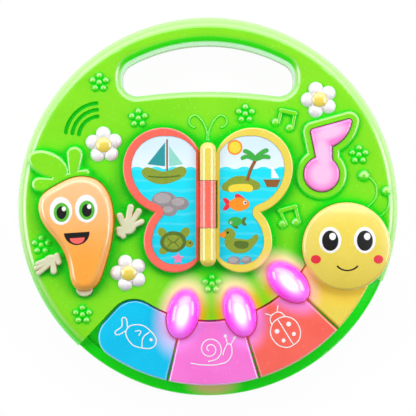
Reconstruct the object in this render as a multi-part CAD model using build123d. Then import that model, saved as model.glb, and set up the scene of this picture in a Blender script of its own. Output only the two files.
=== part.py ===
from build123d import *
from math import atan2, cos, degrees, radians, sin
import os

# Round musical panel for babies. It lies face up on four rubber feet.
# Origin: middle of the footprint, on the table. +Y points to the carrying handle.
# Angles of the key band are counted from the bottom of the panel, towards +X.

# ------------------------------------------------------------ panel (mm)
disc_radius = 130.0
drawn_radius = 132.2  # places and outlines in plan are drawn for this radius
plan = disc_radius / drawn_radius
foot_height = 2.0
parting_height = 10.0
land_height = 32.0
wall = 2.5
edge_round = 9.0
back_inset = 0.6
back_edge_round = 4.0

# Carrying handle: an opening with an arched top and a gently bowed lower edge
handle_bar = 17.3 * plan
handle_half_width = 60.6 * plan
handle_low = 80.2 * plan
handle_low_radius = 355.0 * plan
handle_corner = 11.7 * plan
handle_edge_round = 5.0

# Key band
key_edges = (-42.5, -13.1, 16.85, 47.0)
neck_end = 66.4
rim_width = 8.75 * plan
key_length = 44.8 * plan
key_top = 31.0
key_skirt = 10.0
key_wall = 2.0
key_edge_round = 1.8
end_inner_round = 17.5 * plan
end_outer_round = 15.0 * plan
key_gap = 0.8
side_gap = 0.8
tray_floor = 17.5
rim_height = 22.0
rim_fall = 2.2
rim_round = 2.2

# Key levers
lever_reach = 22.7 * plan
lever_height = 24.5
lever_width = 12.0
lever_thick = 4.0
hub_radius = 3.6
rod_radius = 1.5
rod_fit = 0.06
bracket_thick = 2.5
bracket_gap = 0.4
key_turn = 2.5
window_gap = 1.2
plunger_reach = 25.3 * plan
plunger_radius = 3.5
plunger_gap = 1.3

# Lamps on the borders between keys
lamp_reach = 2.7 * plan
lamp_long = 17.2 * plan
lamp_short = 11.0 * plan
lamp_rise = 9.0
lamp_wall = 2.0
lamp_plug = 3.0
notch_gap = 0.6
led_radius = 2.5
led_height = 8.6

# Press buttons
press_travel = 2.5
press_clear = 0.3
well_gap = 0.5
flange_reach = 1.5
flange_thick = 2.0
contact_gap = 0.1

# Round head button
head_centre = (95.2 * plan, -27.0 * plan)
head_radius = 30.4 * plan
head_side = 6.5
head_crown = 5.0
head_edge_round = 3.0
head_wall = 2.2
head_gap = 0.5

# Note button and its collar
note_head_centre = (78.2 * plan, 22.8 * plan)
note_head_radius = 12.2 * plan
note_rise = 4.4
note_edge_round = 2.0
note_wall = 2.0
collar_width = 5.0
collar_rise = 2.6
collar_round = 2.4

# Carrot button
carrot_rise = 9.0
carrot_edge_round = 5.5
carrot_plunger = (-90.0 * plan, -8.0 * plan)
tip_centre = (-84.9 * plan, -56.4 * plan)
tip_half_width = 5.8 * plan
tip_half_length = 5.2 * plan
tip_rise = 4.0
tip_edge_round = 1.5

# Butterfly book
wing_thick = 5.4
page_thick = 4.5
page_lift = 0.6
page_clear = 0.3
barrel_radius = 5.5
barrel_top = 44.5 * plan
barrel_bottom = -40.7 * plan
knuckle_top = 18.2 * plan
knuckle_bottom = -14.2 * plan
web_top = 38.0 * plan
web_bottom = -35.5 * plan
knuckle_gap = 0.4
groove_gap = 0.4
pin_radius = 1.5
pin_fit = 0.08
pin_end_cover = 4.0
wing_inner = 6.2
frame_width = 5.6 * plan
strip_width = 1.65
card_thick = 1.0
card_depth = 1.5
card_fit = 0.15
card_recess = 0.8
wing_edge_round = 1.0

# Decorations standing on the land
relief_height = 2.0
relief_edge_round = 0.8
pip_radius = 2.3
pip_ring = 4.6
feeler_radius = 0.7
stub_radius = 1.5
stub_gap = 0.15
leaf_height = 4.4
leaf_round = 2.4
petal_ring = 7.6
petal_radius = 5.0
petal_rise = 2.8
petal_seat = 2.0
petal_base_radius = 6.2
daisy_eye_radius = 4.9
daisy_eye_rise = 2.4
daisy_eye_gap = 0.1
daisy_peg_radius = 3.4
hand_thick = 3.6
hand_edge_round = 1.3

# Speaker and its slots
slot_centre = (-74.8 * plan, 48.3 * plan)
slot_radii = (14.3 * plan, 18.9 * plan, 23.5 * plan)
slot_width = 2.8
speaker_centre = (-85.0 * plan, 58.5 * plan)
speaker_radius = 16.0
speaker_depth = 13.0
magnet_radius = 8.0
magnet_thick = 4.0

# Boards, contact domes and batteries
board_height = 7.0
board_thick = 1.6
board_inner_reach = 16.7
board_outer_reach = 9.5
board_end = 82.0
post_radius = 2.5
dome_height = 6.8
dome_base_radius = 5.5
battery_radius = 7.25
battery_length = 48.0
battery_nub = 1.5
battery_pitch = 15.2
bay_centre_y = 22.0 * plan
bay_wall = 1.6
bay_gap = 0.5
spring_length = 4.0
contact_thick = 0.5
door_thick = 1.5
door_margin = 3.0
door_tongue = 12.0
door_fit = 0.3

# Fasteners and feet
screw_radius = 1.3
screw_head_radius = 2.9
screw_head_thick = 1.8
screw_length = 12.0
boss_radius = 4.0
foot_radius = 7.0
foot_recess = 0.8

# Power switch under the panel
switch_centre = (-42.0 * plan, -27.0 * plan)
switch_travel = 3.0
switch_thick = 5.0
knob_length = 6.0
knob_width = 4.0
knob_reach = 1.2
knob_gap = 0.4

# ------------------------------------------------------------ derived sizes
ceiling = land_height - wall
inside_floor = foot_height + wall
band_outer = disc_radius - rim_width
band_inner = band_outer - key_length
lever_radius = band_inner - lever_reach
plunger_ring = band_inner + plunger_reach
lamp_ring = band_inner - lamp_reach
board_inner = band_inner - board_inner_reach
board_outer = band_outer - board_outer_reach
board_top = board_height + board_thick
dome_top = board_top + dome_height
tray_inner = band_inner - side_gap
tray_outer = band_outer + side_gap
wing_top = land_height + wing_thick
page_bottom = land_height + page_lift
page_top = page_bottom + page_thick
hinge_height = (page_top + wing_top + page_clear) / 2
key_mids = [(a + b) / 2 for a, b in zip(key_edges, key_edges[1:])]
plunger_foot = dome_top + contact_gap
pocket_floor = key_top - press_travel - press_clear
flange_top = ceiling - press_clear
flange_bottom = flange_top - flange_thick
battery_height = foot_height + door_thick + battery_radius
bay_half_width = battery_pitch + battery_radius + bay_gap
bay_length = battery_length + battery_nub + spring_length + 2 * contact_thick
bay_low = bay_centre_y - bay_length / 2
bay_high = bay_centre_y + bay_length / 2
bay_roof = battery_height + battery_radius + bay_gap


# ------------------------------------------------------------ helpers
def drawn(x, y):
    """A place drawn in plan, brought to the size of the disc."""
    return (x * plan, y * plan)


def slab(face, bottom, top):
    """Straight plate on a flat outline, between two heights."""
    return extrude(Pos(0, 0, bottom) * face, amount=top - bottom, dir=(0, 0, 1))


def ring_point(radius, angle):
    """Point at a radius and an angle from the bottom of the panel."""
    return (radius * sin(radians(angle)), -radius * cos(radians(angle)))


def outward(angle, radius, height=0.0):
    """Frame at a point of the panel whose X axis points away from the middle."""
    return Rot(0, 0, angle - 90) * Pos(radius, 0, height)


def band(inner, outer, start, end):
    """Part of a ring between two radii and two angles."""
    middle = (start + end) / 2
    inner_arc = ThreePointArc(
        ring_point(inner, start), ring_point(inner, middle), ring_point(inner, end)
    )
    outer_arc = ThreePointArc(
        ring_point(outer, end), ring_point(outer, middle), ring_point(outer, start)
    )
    sides = [Line(inner_arc @ 1, outer_arc @ 0), Line(outer_arc @ 1, inner_arc @ 0)]
    return make_face([inner_arc, sides[0], outer_arc, sides[1]])


def capsule(start, end, radius):
    """Flat strip with round ends."""
    centre = (Vector(*start) + Vector(*end)) / 2
    run = Vector(*end) - Vector(*start)
    turn = degrees(atan2(run.Y, run.X))
    return Pos(centre.X, centre.Y) * Rot(0, 0, turn) * SlotCenterToCenter(run.length, 2 * radius)


def top_edges(solid, height):
    """Edges of a solid that lie in its flat top."""
    return solid.edges().filter_by_position(Axis.Z, height - 0.01, height + 0.01)


def soft_slab(face, bottom, top, radius):
    """Plate with a rounded top edge."""
    solid = slab(face, bottom, top)
    return fillet(top_edges(solid, top), radius)


def contact_dome(x, y):
    """Silicone contact dome on a board, with a flat foot."""
    foot = Cylinder(dome_base_radius, 1.0, align=(Align.CENTER, Align.CENTER, Align.MIN))
    cone = Cone(
        dome_base_radius - 1.0,
        plunger_radius - 0.3,
        dome_height,
        align=(Align.CENTER, Align.CENTER, Align.MIN),
    )
    return Pos(x, y, board_top) * (foot + cone)


def post(x, y, radius, bottom, top):
    """Round upright pin, post or hole."""
    return slab(Pos(x, y) * Circle(radius), bottom, top)


def ball_radius(radius, rise):
    """Radius of the ball that a shallow dome is cut from."""
    return (radius**2 + rise**2) / (2 * rise)


def dome_ball(x, y, radius, rise):
    """Ball that stands out of the land as a shallow dome."""
    ball = ball_radius(radius, rise)
    return Pos(x, y, land_height + rise - ball) * Sphere(ball)


# ------------------------------------------------------------ outlines
def handle_face(grow=0.0):
    """Kidney outline of the carrying opening, larger all round by grow."""
    arch = Circle(disc_radius - handle_bar + grow)
    bow = Pos(0, handle_low - handle_low_radius) * Circle(handle_low_radius - grow)
    span = Pos(0, disc_radius / 2) * Rectangle(2 * (handle_half_width + grow), disc_radius)
    outline = (arch - bow) & span
    return fillet(outline.vertices(), handle_corner + grow)


def tray_face(grow=0.0):
    """Outline of the key tray, with the round left end."""
    start = key_edges[0] - degrees(side_gap / band_inner) - degrees(grow / band_outer)
    end = neck_end + degrees(side_gap / band_inner) + degrees(grow / band_outer)
    outline = band(tray_inner - grow, tray_outer + grow, start, end)
    corner = outline.vertices().sort_by_distance(ring_point(tray_inner - grow, start))[0]
    return fillet(corner, end_inner_round + side_gap + grow)


def lamp_face(angle, long, short):
    """Oval across a border between two keys."""
    return outward(angle, lamp_ring) * Ellipse(long, short)


def note_stem(grow=0.0):
    """Outline of the note's stem and flag, larger all round by grow."""
    left = Line(drawn(75.5, 28.0), drawn(70.2, 53.4))
    top = Line(left @ 1, drawn(99.2, 61.4))
    flag = ThreePointArc(top @ 1, drawn(94.6, 48.6), drawn(85.4, 41.6))
    right = Line(flag @ 1, drawn(85.8, 28.0))
    base = Line(right @ 1, left @ 0)
    stem = make_face([left, top, flag, right, base])
    stem = fillet(stem.vertices().group_by(Axis.Y)[-1], 1.8)
    stem = fillet(stem.vertices().sort_by_distance(left @ 1)[0], 2.2)
    return offset(stem, grow) if grow else stem


def note_head(grow=0.0):
    """Outline of the note's round head, larger all round by grow."""
    return Pos(*note_head_centre) * Circle(note_head_radius + grow)


def note_plate(grow, bottom, top):
    """Straight plate in the shape of the note."""
    return slab(note_head(grow) + note_stem(grow), bottom, top)


def soft_note(grow, bottom, top, radius):
    """Plate in the shape of the note with a rounded top edge."""
    head = soft_slab(note_head(grow), bottom, top, radius)
    return head + soft_slab(note_stem(grow), bottom, top, radius)


def carrot_face(grow=0.0):
    """Outline of the carrot, wide at the shoulders, larger all round by grow."""
    shoulders = [(-83.6, 21.0), (-72.4, 15.3), (-65.6, 0.0), (-65.4, -17.5)]
    foot = [(-71.7, -43.2), (-79.6, -56.0), (-89.8, -56.3), (-96.0, -39.9)]
    left = [(-102.6, -24.8), (-114.5, -8.3), (-115.2, 6.1), (-104.0, 15.3)]
    outline = Spline([drawn(*point) for point in shoulders + foot + left], periodic=True)
    if grow:
        stations = [step / 24 for step in range(24)]
        sideways = [(outline % station).rotate(Axis.Z, 90) for station in stations]
        points = [outline @ station + grow * side for station, side in zip(stations, sideways)]
        outline = Spline(points, periodic=True)
    return make_face(outline)


def tip_face(grow=0.0):
    """Outline of the root tip at the carrot's lower end."""
    return Pos(*tip_centre) * Ellipse(tip_half_width + grow, tip_half_length + grow)


def wing_face():
    """Outline of the right wing, from its straight inner edge round both lobes."""
    shoulder = TangentArc(drawn(30.9, 54.6), (wing_inner, 39.4 * plan), tangent=(-1, 0))
    upper = TangentArc(drawn(30.9, 54.6), drawn(58.3, 26.0), tangent=(1, 0))
    waist = TangentArc(upper @ 1, drawn(36.3, -3.6), tangent=upper % 1)
    side = TangentArc(drawn(44.1, -23.9), waist @ 1, tangent=(0, 1))
    lower = TangentArc(drawn(44.1, -23.9), drawn(23.1, -44.9), tangent=(0, -1))
    heel = TangentArc(lower @ 1, (wing_inner, -36.5 * plan), tangent=(-1, 0))
    inner = Line(heel @ 1, shoulder @ 1)
    return make_face([shoulder, upper, waist, side, lower, heel, inner])


def window_face(shrink=0.0):
    """Picture window of a wing: a wide frame outside, a narrow strip at the hinge."""
    inset = offset(wing_face(), -frame_width - shrink)
    reach = frame_width - strip_width
    return inset + Pos(-reach, 0) * inset


# ------------------------------------------------------------ top casing
def casing_blank():
    """Disc of the casing with its handle opening and large rounded edge."""
    disc = slab(Circle(disc_radius) - handle_face(), parting_height, land_height)
    rims = top_edges(disc, land_height).sort_by(SortBy.LENGTH)
    disc = fillet(rims[-1], edge_round)
    rims = top_edges(disc, land_height).sort_by(SortBy.LENGTH)
    return fillet(rims[:-1], handle_edge_round)


def casing_hollow():
    """Space inside the casing, clear of the tray, the handle and the head pocket."""
    space = slab(Circle(disc_radius - wall), parting_height - 1, ceiling)
    space = fillet(top_edges(space, ceiling), edge_round - wall)
    space -= slab(handle_face(wall), 0, land_height)
    space -= slab(tray_face(wall), tray_floor - wall, land_height)
    space -= rim_cutter(-wall)
    space -= post(*head_centre, head_radius + head_gap + wall, pocket_floor - wall, land_height)
    return space


def rim_cutter(rise=0.0):
    """Space over the low rim outside the keys; the rim falls away outwards."""
    start = key_edges[0] - degrees(side_gap / band_inner)
    end = neck_end + degrees(side_gap / band_inner)
    inner = tray_outer - side_gap / 2
    shelf = rim_height + rise
    brink = (disc_radius - rim_round, shelf - rim_fall)
    slope = Line((inner, shelf), brink)
    bend = ThreePointArc(
        brink,
        (disc_radius - rim_round * 0.29, shelf - rim_fall - rim_round * 0.29),
        (disc_radius, shelf - rim_fall - rim_round),
    )
    outer = Polyline(
        bend @ 1,
        (disc_radius + 5, shelf - rim_fall - rim_round),
        (disc_radius + 5, land_height + 5),
        (inner, land_height + 5),
        slope @ 0,
    )
    profile = Plane.XZ * make_face([slope, bend, outer])
    ring = revolve(profile, Axis.Z, revolution_arc=end - start)
    return Rot(0, 0, start - 90) * ring


def flower_relief(x, y):
    """Small moulded flower: a round pip inside five others."""
    spots = [Rot(0, 0, 72 * step + 18) * Pos(pip_ring, 0) for step in range(5)]
    ball = dome_ball(0, 0, pip_radius, relief_height)
    return [Pos(x, y) * ball] + [Pos(x, y) * spot * ball for spot in spots]


def soft_line(start, end, radius, rise):
    """Moulded bar with round ends and a rounded top edge."""
    face = capsule(drawn(*start), drawn(*end), radius)
    return soft_slab(face, ceiling, land_height + rise, relief_edge_round)


def paired_notes(left_head, right_head, left_top, right_top, head_size):
    """Two moulded note heads joined by their stems and a beam."""
    pieces = [dome_ball(*drawn(*head), head_size, relief_height) for head in (left_head, right_head)]
    for head, top in ((left_head, left_top), (right_head, right_top)):
        foot = (head[0] + head_size - 1.3, head[1])
        pieces.append(soft_line(foot, top, 1.2, relief_height - 0.4))
    return pieces + [soft_line(left_top, right_top, 1.6, relief_height)]


def leaf_relief():
    """Carrot leaves moulded on the casing."""
    root = Pos(*drawn(-92.3, 23.0)) * Circle(3.8)
    crest = Pos(*drawn(-91.6, 36.0)) * Circle(5.8)
    leaves = [
        Pos(*drawn(-109.5, 29.0)) * Rot(0, 0, -25) * Ellipse(15.1 * plan, 9.0 * plan),
        capsule(drawn(-115.6, 15.6), drawn(-104.0, 15.0), 5.4),
        capsule(drawn(-104.0, 19.0), drawn(-90.0, 21.0), 4.0),
        make_hull((root + crest).edges()),
        capsule(drawn(-92.0, 22.4), drawn(-83.9, 23.6), 3.0),
    ]
    top = land_height + leaf_height
    return [soft_slab(leaf, parting_height + 8, top, leaf_round) for leaf in leaves]


def ridge(line):
    """Thin half-round ridge along a line on the land."""
    start = line @ 0
    section = Plane(origin=start, z_dir=line % 0) * Circle(feeler_radius)
    return Pos(0, 0, land_height) * sweep(section, path=line)


def feeler_relief():
    """Thin moulded feelers of the book's insect and of the round head."""
    lines = []
    for side in (-1, 1):
        rise = ThreePointArc(
            drawn(0.6 * side, 45.5), drawn(2.5 * side, 57.0), drawn(7.6 * side, 63.0)
        )
        curl = ThreePointArc(rise @ 1, drawn(13.1 * side, 58.6), drawn(8.9 * side, 54.9))
        lines += [rise, curl]
    lines.append(ThreePointArc(drawn(108.6, 21.6), drawn(115.7, 15.1), drawn(109.0, 0.0)))
    lines.append(ThreePointArc(drawn(123.6, 10.0), drawn(125.0, 3.0), drawn(117.6, -7.0)))
    knobs = [dome_ball(*drawn(107.4, 21.8), 4.1, 3.0), dome_ball(*drawn(122.9, 11.1), 3.6, 3.0)]
    return [ridge(line) for line in lines] + knobs


def arm_stubs(grow=0.0):
    """Short arms between the carrot and its hands."""
    top = land_height + stub_radius + grow
    spans = [((-68.0, -20.6), (-62.4, -18.0)), ((-99.0, -31.8), (-103.0, -34.6))]
    faces = [capsule(drawn(*start), drawn(*end), stub_radius + grow) for start, end in spans]
    return [slab(face, ceiling, top) for face in faces]


def land_relief():
    """Everything moulded on the raised land in the casing's own colour."""
    flowers = [(-74.9, 86.0), (-48.0, 61.3), (25.8, 64.3), (104.0, 36.1)]
    flowers += [(-114.8, -26.1), (2.8, -52.8), (-86.5, -74.1)]
    pieces = [pip for spot in flowers for pip in flower_relief(*drawn(*spot))]
    pieces += paired_notes((46.7, 58.5), (56.3, 54.6), (50.6, 66.6), (60.0, 64.6), 3.3)
    pieces += paired_notes((51.6, -11.8), (60.8, -10.5), (49.6, -2.6), (60.2, 0.4), 3.6)
    pieces += leaf_relief() + feeler_relief() + arm_stubs()
    reach = well_gap + collar_width
    pieces.append(soft_note(reach, ceiling, land_height + collar_rise, collar_round))
    return pieces


def lever_brackets(angle):
    """Two plates under the land that hold a pivot rod."""
    height = ceiling - lever_height + hub_radius
    plates = []
    for side in (-1, 1):
        offset_y = side * (lever_width / 2 + bracket_gap + bracket_thick / 2)
        plate = Box(
            2 * hub_radius + 1, bracket_thick, height, align=(Align.CENTER, Align.CENTER, Align.MAX)
        )
        plates.append(outward(angle, lever_radius, ceiling) * Pos(0, offset_y, 0) * plate)
    return plates


def rod_cylinder(angle, radius, length):
    """Cylinder along the pivot axis of a key."""
    return outward(angle, lever_radius, lever_height) * Rot(90, 0, 0) * Cylinder(radius, length)


def rod_length():
    """A pivot rod reaches through the lever and both brackets."""
    return lever_width + 2 * (bracket_gap + bracket_thick)


def lever_window(angle):
    """Opening in the wall of the land that a key lever passes through."""
    opening = Box(2 * wall + 2, lever_width + 2 * window_gap, lever_thick + 2 * window_gap + 1.0)
    return outward(angle, tray_inner - wall / 2, lever_height - 0.5) * opening


def land_screws():
    """Places of the casing screws that end under the land."""
    return [drawn(-68.0, 96.0), drawn(68.0, 96.0), drawn(-112.0, -45.0), drawn(112.0, 18.0)]


def tray_screws():
    """Places of the casing screws that end under the key tray."""
    return [ring_point(band_outer - boss_radius - 0.5, angle) for angle in (-8.0, 32.0)]


def screw_spots():
    """Places of all casing screws."""
    return land_screws() + tray_screws()


def speaker_slots():
    """Three curved slots over the speaker."""
    slots = Part()
    for radius in slot_radii:
        path = CenterArc(slot_centre, radius, 95, 77)
        slots += slab(SlotArc(path, slot_width), ceiling - 1, land_height + 1)
    return slots


def carrot_well():
    """Opening in the land for the carrot and its root tip."""
    face = carrot_face(well_gap) + tip_face(well_gap)
    return slab(face, parting_height, land_height + 9)


def top_casing():
    """Green upper casing: land, key tray, handle, bosses and moulded decoration."""
    body = casing_blank() + land_relief()
    body -= slab(tray_face(), tray_floor, land_height + 9)
    body -= rim_cutter()
    body -= post(*head_centre, head_radius + head_gap, pocket_floor, land_height + 9)
    body -= casing_hollow()
    for angle in key_edges[1:]:
        body += slab(lamp_face(angle, lamp_long, lamp_short), tray_floor - wall, land_height)
    for angle in key_edges[1:]:
        bore = lamp_face(angle, lamp_long - lamp_wall, lamp_short - lamp_wall)
        body -= slab(bore, parting_height, land_height + 1)
    for x, y in land_screws():
        body += post(x, y, boss_radius, parting_height, ceiling)
    for x, y in tray_screws():
        body += post(x, y, boss_radius, parting_height, tray_floor - 1)
    for x, y in screw_spots():
        body -= post(x, y, screw_radius, parting_height - 1, inside_floor + screw_length)
    for angle in key_mids:
        for plate in lever_brackets(angle):
            body += plate
        body -= rod_cylinder(angle, rod_radius, rod_length())
        body -= lever_window(angle)
        body -= post(*ring_point(plunger_ring, angle), plunger_radius + plunger_gap, 0, rim_height)
    body -= post(*head_centre, plunger_radius + plunger_gap, parting_height, land_height)
    body -= note_plate(well_gap, parting_height, land_height + 9)
    body -= carrot_well()
    body -= speaker_slots()
    body -= slab(mirror(window_face(), Plane.YZ), land_height - card_recess, land_height + 1)
    groove = Rot(90, 0, 0) * Cylinder(barrel_radius + groove_gap, barrel_top - barrel_bottom + 1)
    return body - Pos(0, (barrel_top + barrel_bottom) / 2, hinge_height) * groove


# ------------------------------------------------------------ back of the panel
def bay_box(grow, bottom, top):
    """Block over the three batteries, larger all round by grow."""
    face = Rectangle(2 * (bay_half_width + grow), bay_length + 2 * grow)
    return slab(Pos(0, bay_centre_y) * face, bottom, top)


def door_plate(fit, bottom, top):
    """Outline of the battery door: over the bay, with a tongue for its screw."""
    width = 2 * (bay_half_width + door_margin - fit)
    length = bay_length + 2 * door_margin - 2 * fit
    plate = Pos(0, bay_centre_y) * Rectangle(width, length)
    tongue_length = door_tongue + door_margin
    tongue = Pos(0, bay_low - tongue_length / 2) * Rectangle(door_tongue - 2 * fit, tongue_length - 2 * fit)
    face = fillet((plate + tongue).vertices().group_by(Axis.Y)[-1], 2.0)
    return slab(face, bottom, top)


def door_screw_spot():
    """Place of the battery door screw, in the tongue."""
    return (0.0, bay_low - door_tongue / 2 - 1.0)


def board_posts():
    """Feet of the circuit boards, inside the back shell."""
    spots = [ring_point(board_outer - 6, -30), ring_point(board_outer - 6, 8), ring_point(board_outer - 6, 50)]
    spots += [ring_point(board_inner + 5, -28), ring_point(board_inner + 5, 24), ring_point(board_inner + 8, 76)]
    places = [(64.0, 6.0), (98.0, 50.0), (64.0, 54.0), (-80.0, 2.0), (-96.0, -18.0)]
    return spots + [drawn(*place) for place in places]


def foot_spots():
    """Places of the four feet."""
    return [drawn(-84.0, 74.0), drawn(84.0, 74.0), drawn(-72.0, -86.0), drawn(72.0, -86.0)]


def switch_opening(bottom, top, room):
    """Slot that the power switch knob slides in."""
    x, y = switch_centre
    length = knob_length + switch_travel + 2 * room
    face = Pos(x + switch_travel / 2, y) * Rectangle(length, knob_width + 2 * room)
    return slab(face, bottom, top)


def back_shell():
    """Pale dish with the battery bay, screw wells and board posts."""
    disc = Circle(disc_radius - back_inset)
    body = slab(disc, foot_height, parting_height)
    body = fillet(body.edges().group_by(Axis.Z)[0], back_edge_round)
    body -= slab(handle_face(), 0, parting_height + 1)
    inside = slab(Circle(disc_radius - back_inset - wall), inside_floor, parting_height + 1)
    inside = fillet(inside.edges().group_by(Axis.Z)[0], back_edge_round - 1.0)
    body -= inside - slab(handle_face(wall), 0, parting_height + 1)
    body += bay_box(bay_wall, foot_height + door_thick, bay_roof + bay_wall)
    for x, y in screw_spots():
        body += post(x, y, boss_radius, inside_floor - 0.5, parting_height)
    for x, y in board_posts():
        body += post(x, y, post_radius, inside_floor - 0.5, board_height)
    x, y = door_screw_spot()
    body += post(x, y, boss_radius, inside_floor - 0.5, foot_height + screw_length)
    body -= bay_box(0, 0, bay_roof)
    body -= door_plate(0, 0, foot_height + door_thick)
    body -= post(x, y, screw_radius, 0, foot_height + screw_length - 1)
    for x, y in screw_spots():
        body -= post(x, y, screw_radius, 0, parting_height + 1)
        body -= post(x, y, screw_head_radius + 0.2, 0, inside_floor)
    for x, y in foot_spots():
        body -= post(x, y, foot_radius, 0, foot_height + foot_recess)
    return body - switch_opening(0, inside_floor + 1, knob_gap)


def screw(x, y, head_bottom, length):
    """Casing screw with a flat round head."""
    head = post(x, y, screw_head_radius, head_bottom, head_bottom + screw_head_thick)
    drive = post(x, y, screw_head_radius / 3, head_bottom - 1, head_bottom + screw_head_thick / 2)
    shank_bottom = head_bottom + screw_head_thick
    return head + post(x, y, screw_radius, shank_bottom - 0.5, shank_bottom + length) - drive


def case_screws():
    """Six screws that join the two shells from below."""
    bottom = inside_floor - screw_head_thick
    return Compound([screw(x, y, bottom, screw_length - 0.5).solid() for x, y in screw_spots()])


def battery_door():
    """Door under the batteries, flush with the shell."""
    x, y = door_screw_spot()
    door = door_plate(door_fit, foot_height, foot_height + door_thick)
    door -= post(x, y, screw_head_radius + 0.2, 0, foot_height + 0.7)
    return door - post(x, y, screw_radius, 0, 20)


def door_screw():
    """Screw that keeps the battery door shut."""
    x, y = door_screw_spot()
    head = post(x, y, screw_head_radius, foot_height - 0.6, foot_height + 0.7)
    drive = post(x, y, screw_head_radius / 3, 0, foot_height)
    return head + post(x, y, screw_radius, foot_height, foot_height + screw_length - 2) - drive


def foot_pads():
    """Four rubber feet pressed into the shell."""
    pads = []
    for x, y in foot_spots():
        pad = post(x, y, foot_radius, 0, foot_height + foot_recess)
        pads.append(fillet(pad.edges().group_by(Axis.Z)[0], 0.8).solid())
    return Compound(pads)


# ------------------------------------------------------------ keys
def key_shell(start, end, corners):
    """Hollow key cap between two borders, notched round the lamps."""
    half = degrees(key_gap / 2 / lamp_ring)
    face = band(band_inner, band_outer, start + half, end - half)
    inner = band(
        band_inner + key_wall,
        band_outer - key_wall,
        start + half + degrees(key_wall / band_inner),
        end - half - degrees(key_wall / band_inner),
    )
    if corners:
        face = round_left_end(face, start + half, band_inner, band_outer, 0)
        inner = round_left_end(
            inner,
            start + half + degrees(key_wall / band_inner),
            band_inner + key_wall,
            band_outer - key_wall,
            key_wall,
        )
    notch_long = lamp_long + notch_gap
    notch_short = lamp_short + notch_gap
    for angle in key_edges[1:]:
        inner -= lamp_face(angle, notch_long + key_wall, notch_short + key_wall)
    cap = soft_slab(face, key_top - key_skirt, key_top, key_edge_round)
    cap -= slab(inner, key_top - key_skirt - 1, key_top - key_wall)
    for angle in key_edges[1:]:
        cap -= slab(lamp_face(angle, notch_long, notch_short), key_top - key_skirt - 1, key_top + 1)
    return cap


def round_left_end(face, angle, inner, outer, shrink):
    """Round the two left corners of the first key."""
    corner = face.vertices().sort_by_distance(ring_point(inner, angle))[0]
    face = fillet(corner, end_inner_round - shrink)
    corner = face.vertices().sort_by_distance(ring_point(outer, angle))[0]
    return fillet(corner, end_outer_round - shrink)


def piano_key(index):
    """Key cap with its lever, hub and plunger."""
    angle = key_mids[index]
    key = key_shell(key_edges[index], key_edges[index + 1], index == 0)
    reach = band_inner + key_wall - lever_radius
    lever = Box(reach, lever_width, lever_thick, align=(Align.MIN, Align.CENTER, Align.CENTER))
    key += outward(angle, lever_radius, lever_height) * lever
    key += rod_cylinder(angle, hub_radius, lever_width)
    key += post(*ring_point(plunger_ring, angle), plunger_radius, plunger_foot, key_top - key_wall / 2)
    return key - rod_cylinder(angle, rod_radius + rod_fit, lever_width + 2)


def pivot_rods():
    """Three steel rods that the key levers turn on."""
    return Compound([rod_cylinder(angle, rod_radius, rod_length()).solid() for angle in key_mids])


# ------------------------------------------------------------ head button
def neck_segment():
    """Yellow body segment between the last lamp and the head."""
    return key_shell(key_edges[3], neck_end, False)


def crown(radius, bottom, top, ball):
    """Cylinder closed by a shallow spherical top."""
    x, y = head_centre
    return post(x, y, radius, bottom, top) & Pos(x, y, top - ball) * Sphere(ball)


def head_cap():
    """Domed head with a stem that reaches its contact dome."""
    top = key_top + head_side + head_crown
    ball = ball_radius(head_radius, head_crown)
    cap = crown(head_radius, key_top, top, ball)
    rims = cap.edges().filter_by(lambda edge: edge.is_closed)
    cap = fillet(rims.sort_by(Axis.Z)[-1], head_edge_round)
    cap -= crown(head_radius - head_wall, key_top - 1, top - head_wall, ball - head_wall)
    return cap + post(*head_centre, plunger_radius, plunger_foot, top - head_wall / 2)


# ------------------------------------------------------------ note and carrot
def note_button():
    """Translucent note with a flange that keeps it in its well."""
    top = land_height + note_rise
    button = soft_note(0, flange_bottom, top, note_edge_round)
    button += note_plate(well_gap + flange_reach, flange_bottom, flange_top)
    button -= note_plate(-note_wall, flange_bottom - 1, top - note_wall)
    return button + post(*note_head_centre, plunger_radius, plunger_foot, top - 1.0)


def carrot_button():
    """Carrot cap with a flange that keeps it in its well."""
    top = land_height + carrot_rise
    button = soft_slab(carrot_face(), flange_bottom, top, carrot_edge_round)
    button += slab(carrot_face(well_gap + flange_reach), flange_bottom, flange_top)
    button -= slab(carrot_face(-head_wall), flange_bottom - 1, top - carrot_edge_round)
    return button + post(*carrot_plunger, plunger_radius, plunger_foot, top - carrot_edge_round / 2)


def root_tip():
    """Cream end of the root, carried by the carrot."""
    tip = soft_slab(tip_face(), flange_top, land_height + tip_rise, tip_edge_round)
    return tip - slab(carrot_face(), 0, land_height + carrot_rise + 1)


# ------------------------------------------------------------ lamps
def lamp_lens(angle):
    """Hollow translucent dome with a plug that seats in its boss."""
    seat = outward(angle, lamp_ring, land_height)
    dome = scale(Sphere(1.0), by=(lamp_long, lamp_short, lamp_rise))
    inner = scale(
        Sphere(1.0), by=(lamp_long - lamp_wall, lamp_short - lamp_wall, lamp_rise - lamp_wall)
    )
    below = Box(60, 60, 30, align=(Align.CENTER, Align.CENTER, Align.MAX))
    lens = seat * (dome - inner - below)
    rim = slab(lamp_face(angle, lamp_long - 0.8, lamp_short - 0.8), land_height, land_height + 1.2)
    plug = lamp_face(angle, lamp_long - lamp_wall, lamp_short - lamp_wall)
    lens += rim + slab(plug, land_height - lamp_plug, land_height + 0.5)
    bore = lamp_face(angle, lamp_long - 2 * lamp_wall, lamp_short - 2 * lamp_wall)
    return lens - slab(bore, land_height - lamp_plug - 1, land_height + 2)


def lamp_led(angle):
    """Round light-emitting diode on the key board."""
    x, y = ring_point(lamp_ring, angle)
    tip = board_top + led_height
    body = post(x, y, led_radius, board_top, tip - led_radius)
    body += post(x, y, led_radius + 0.4, board_top, board_top + 1.0)
    return body + Pos(x, y, tip - led_radius) * Sphere(led_radius)


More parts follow.
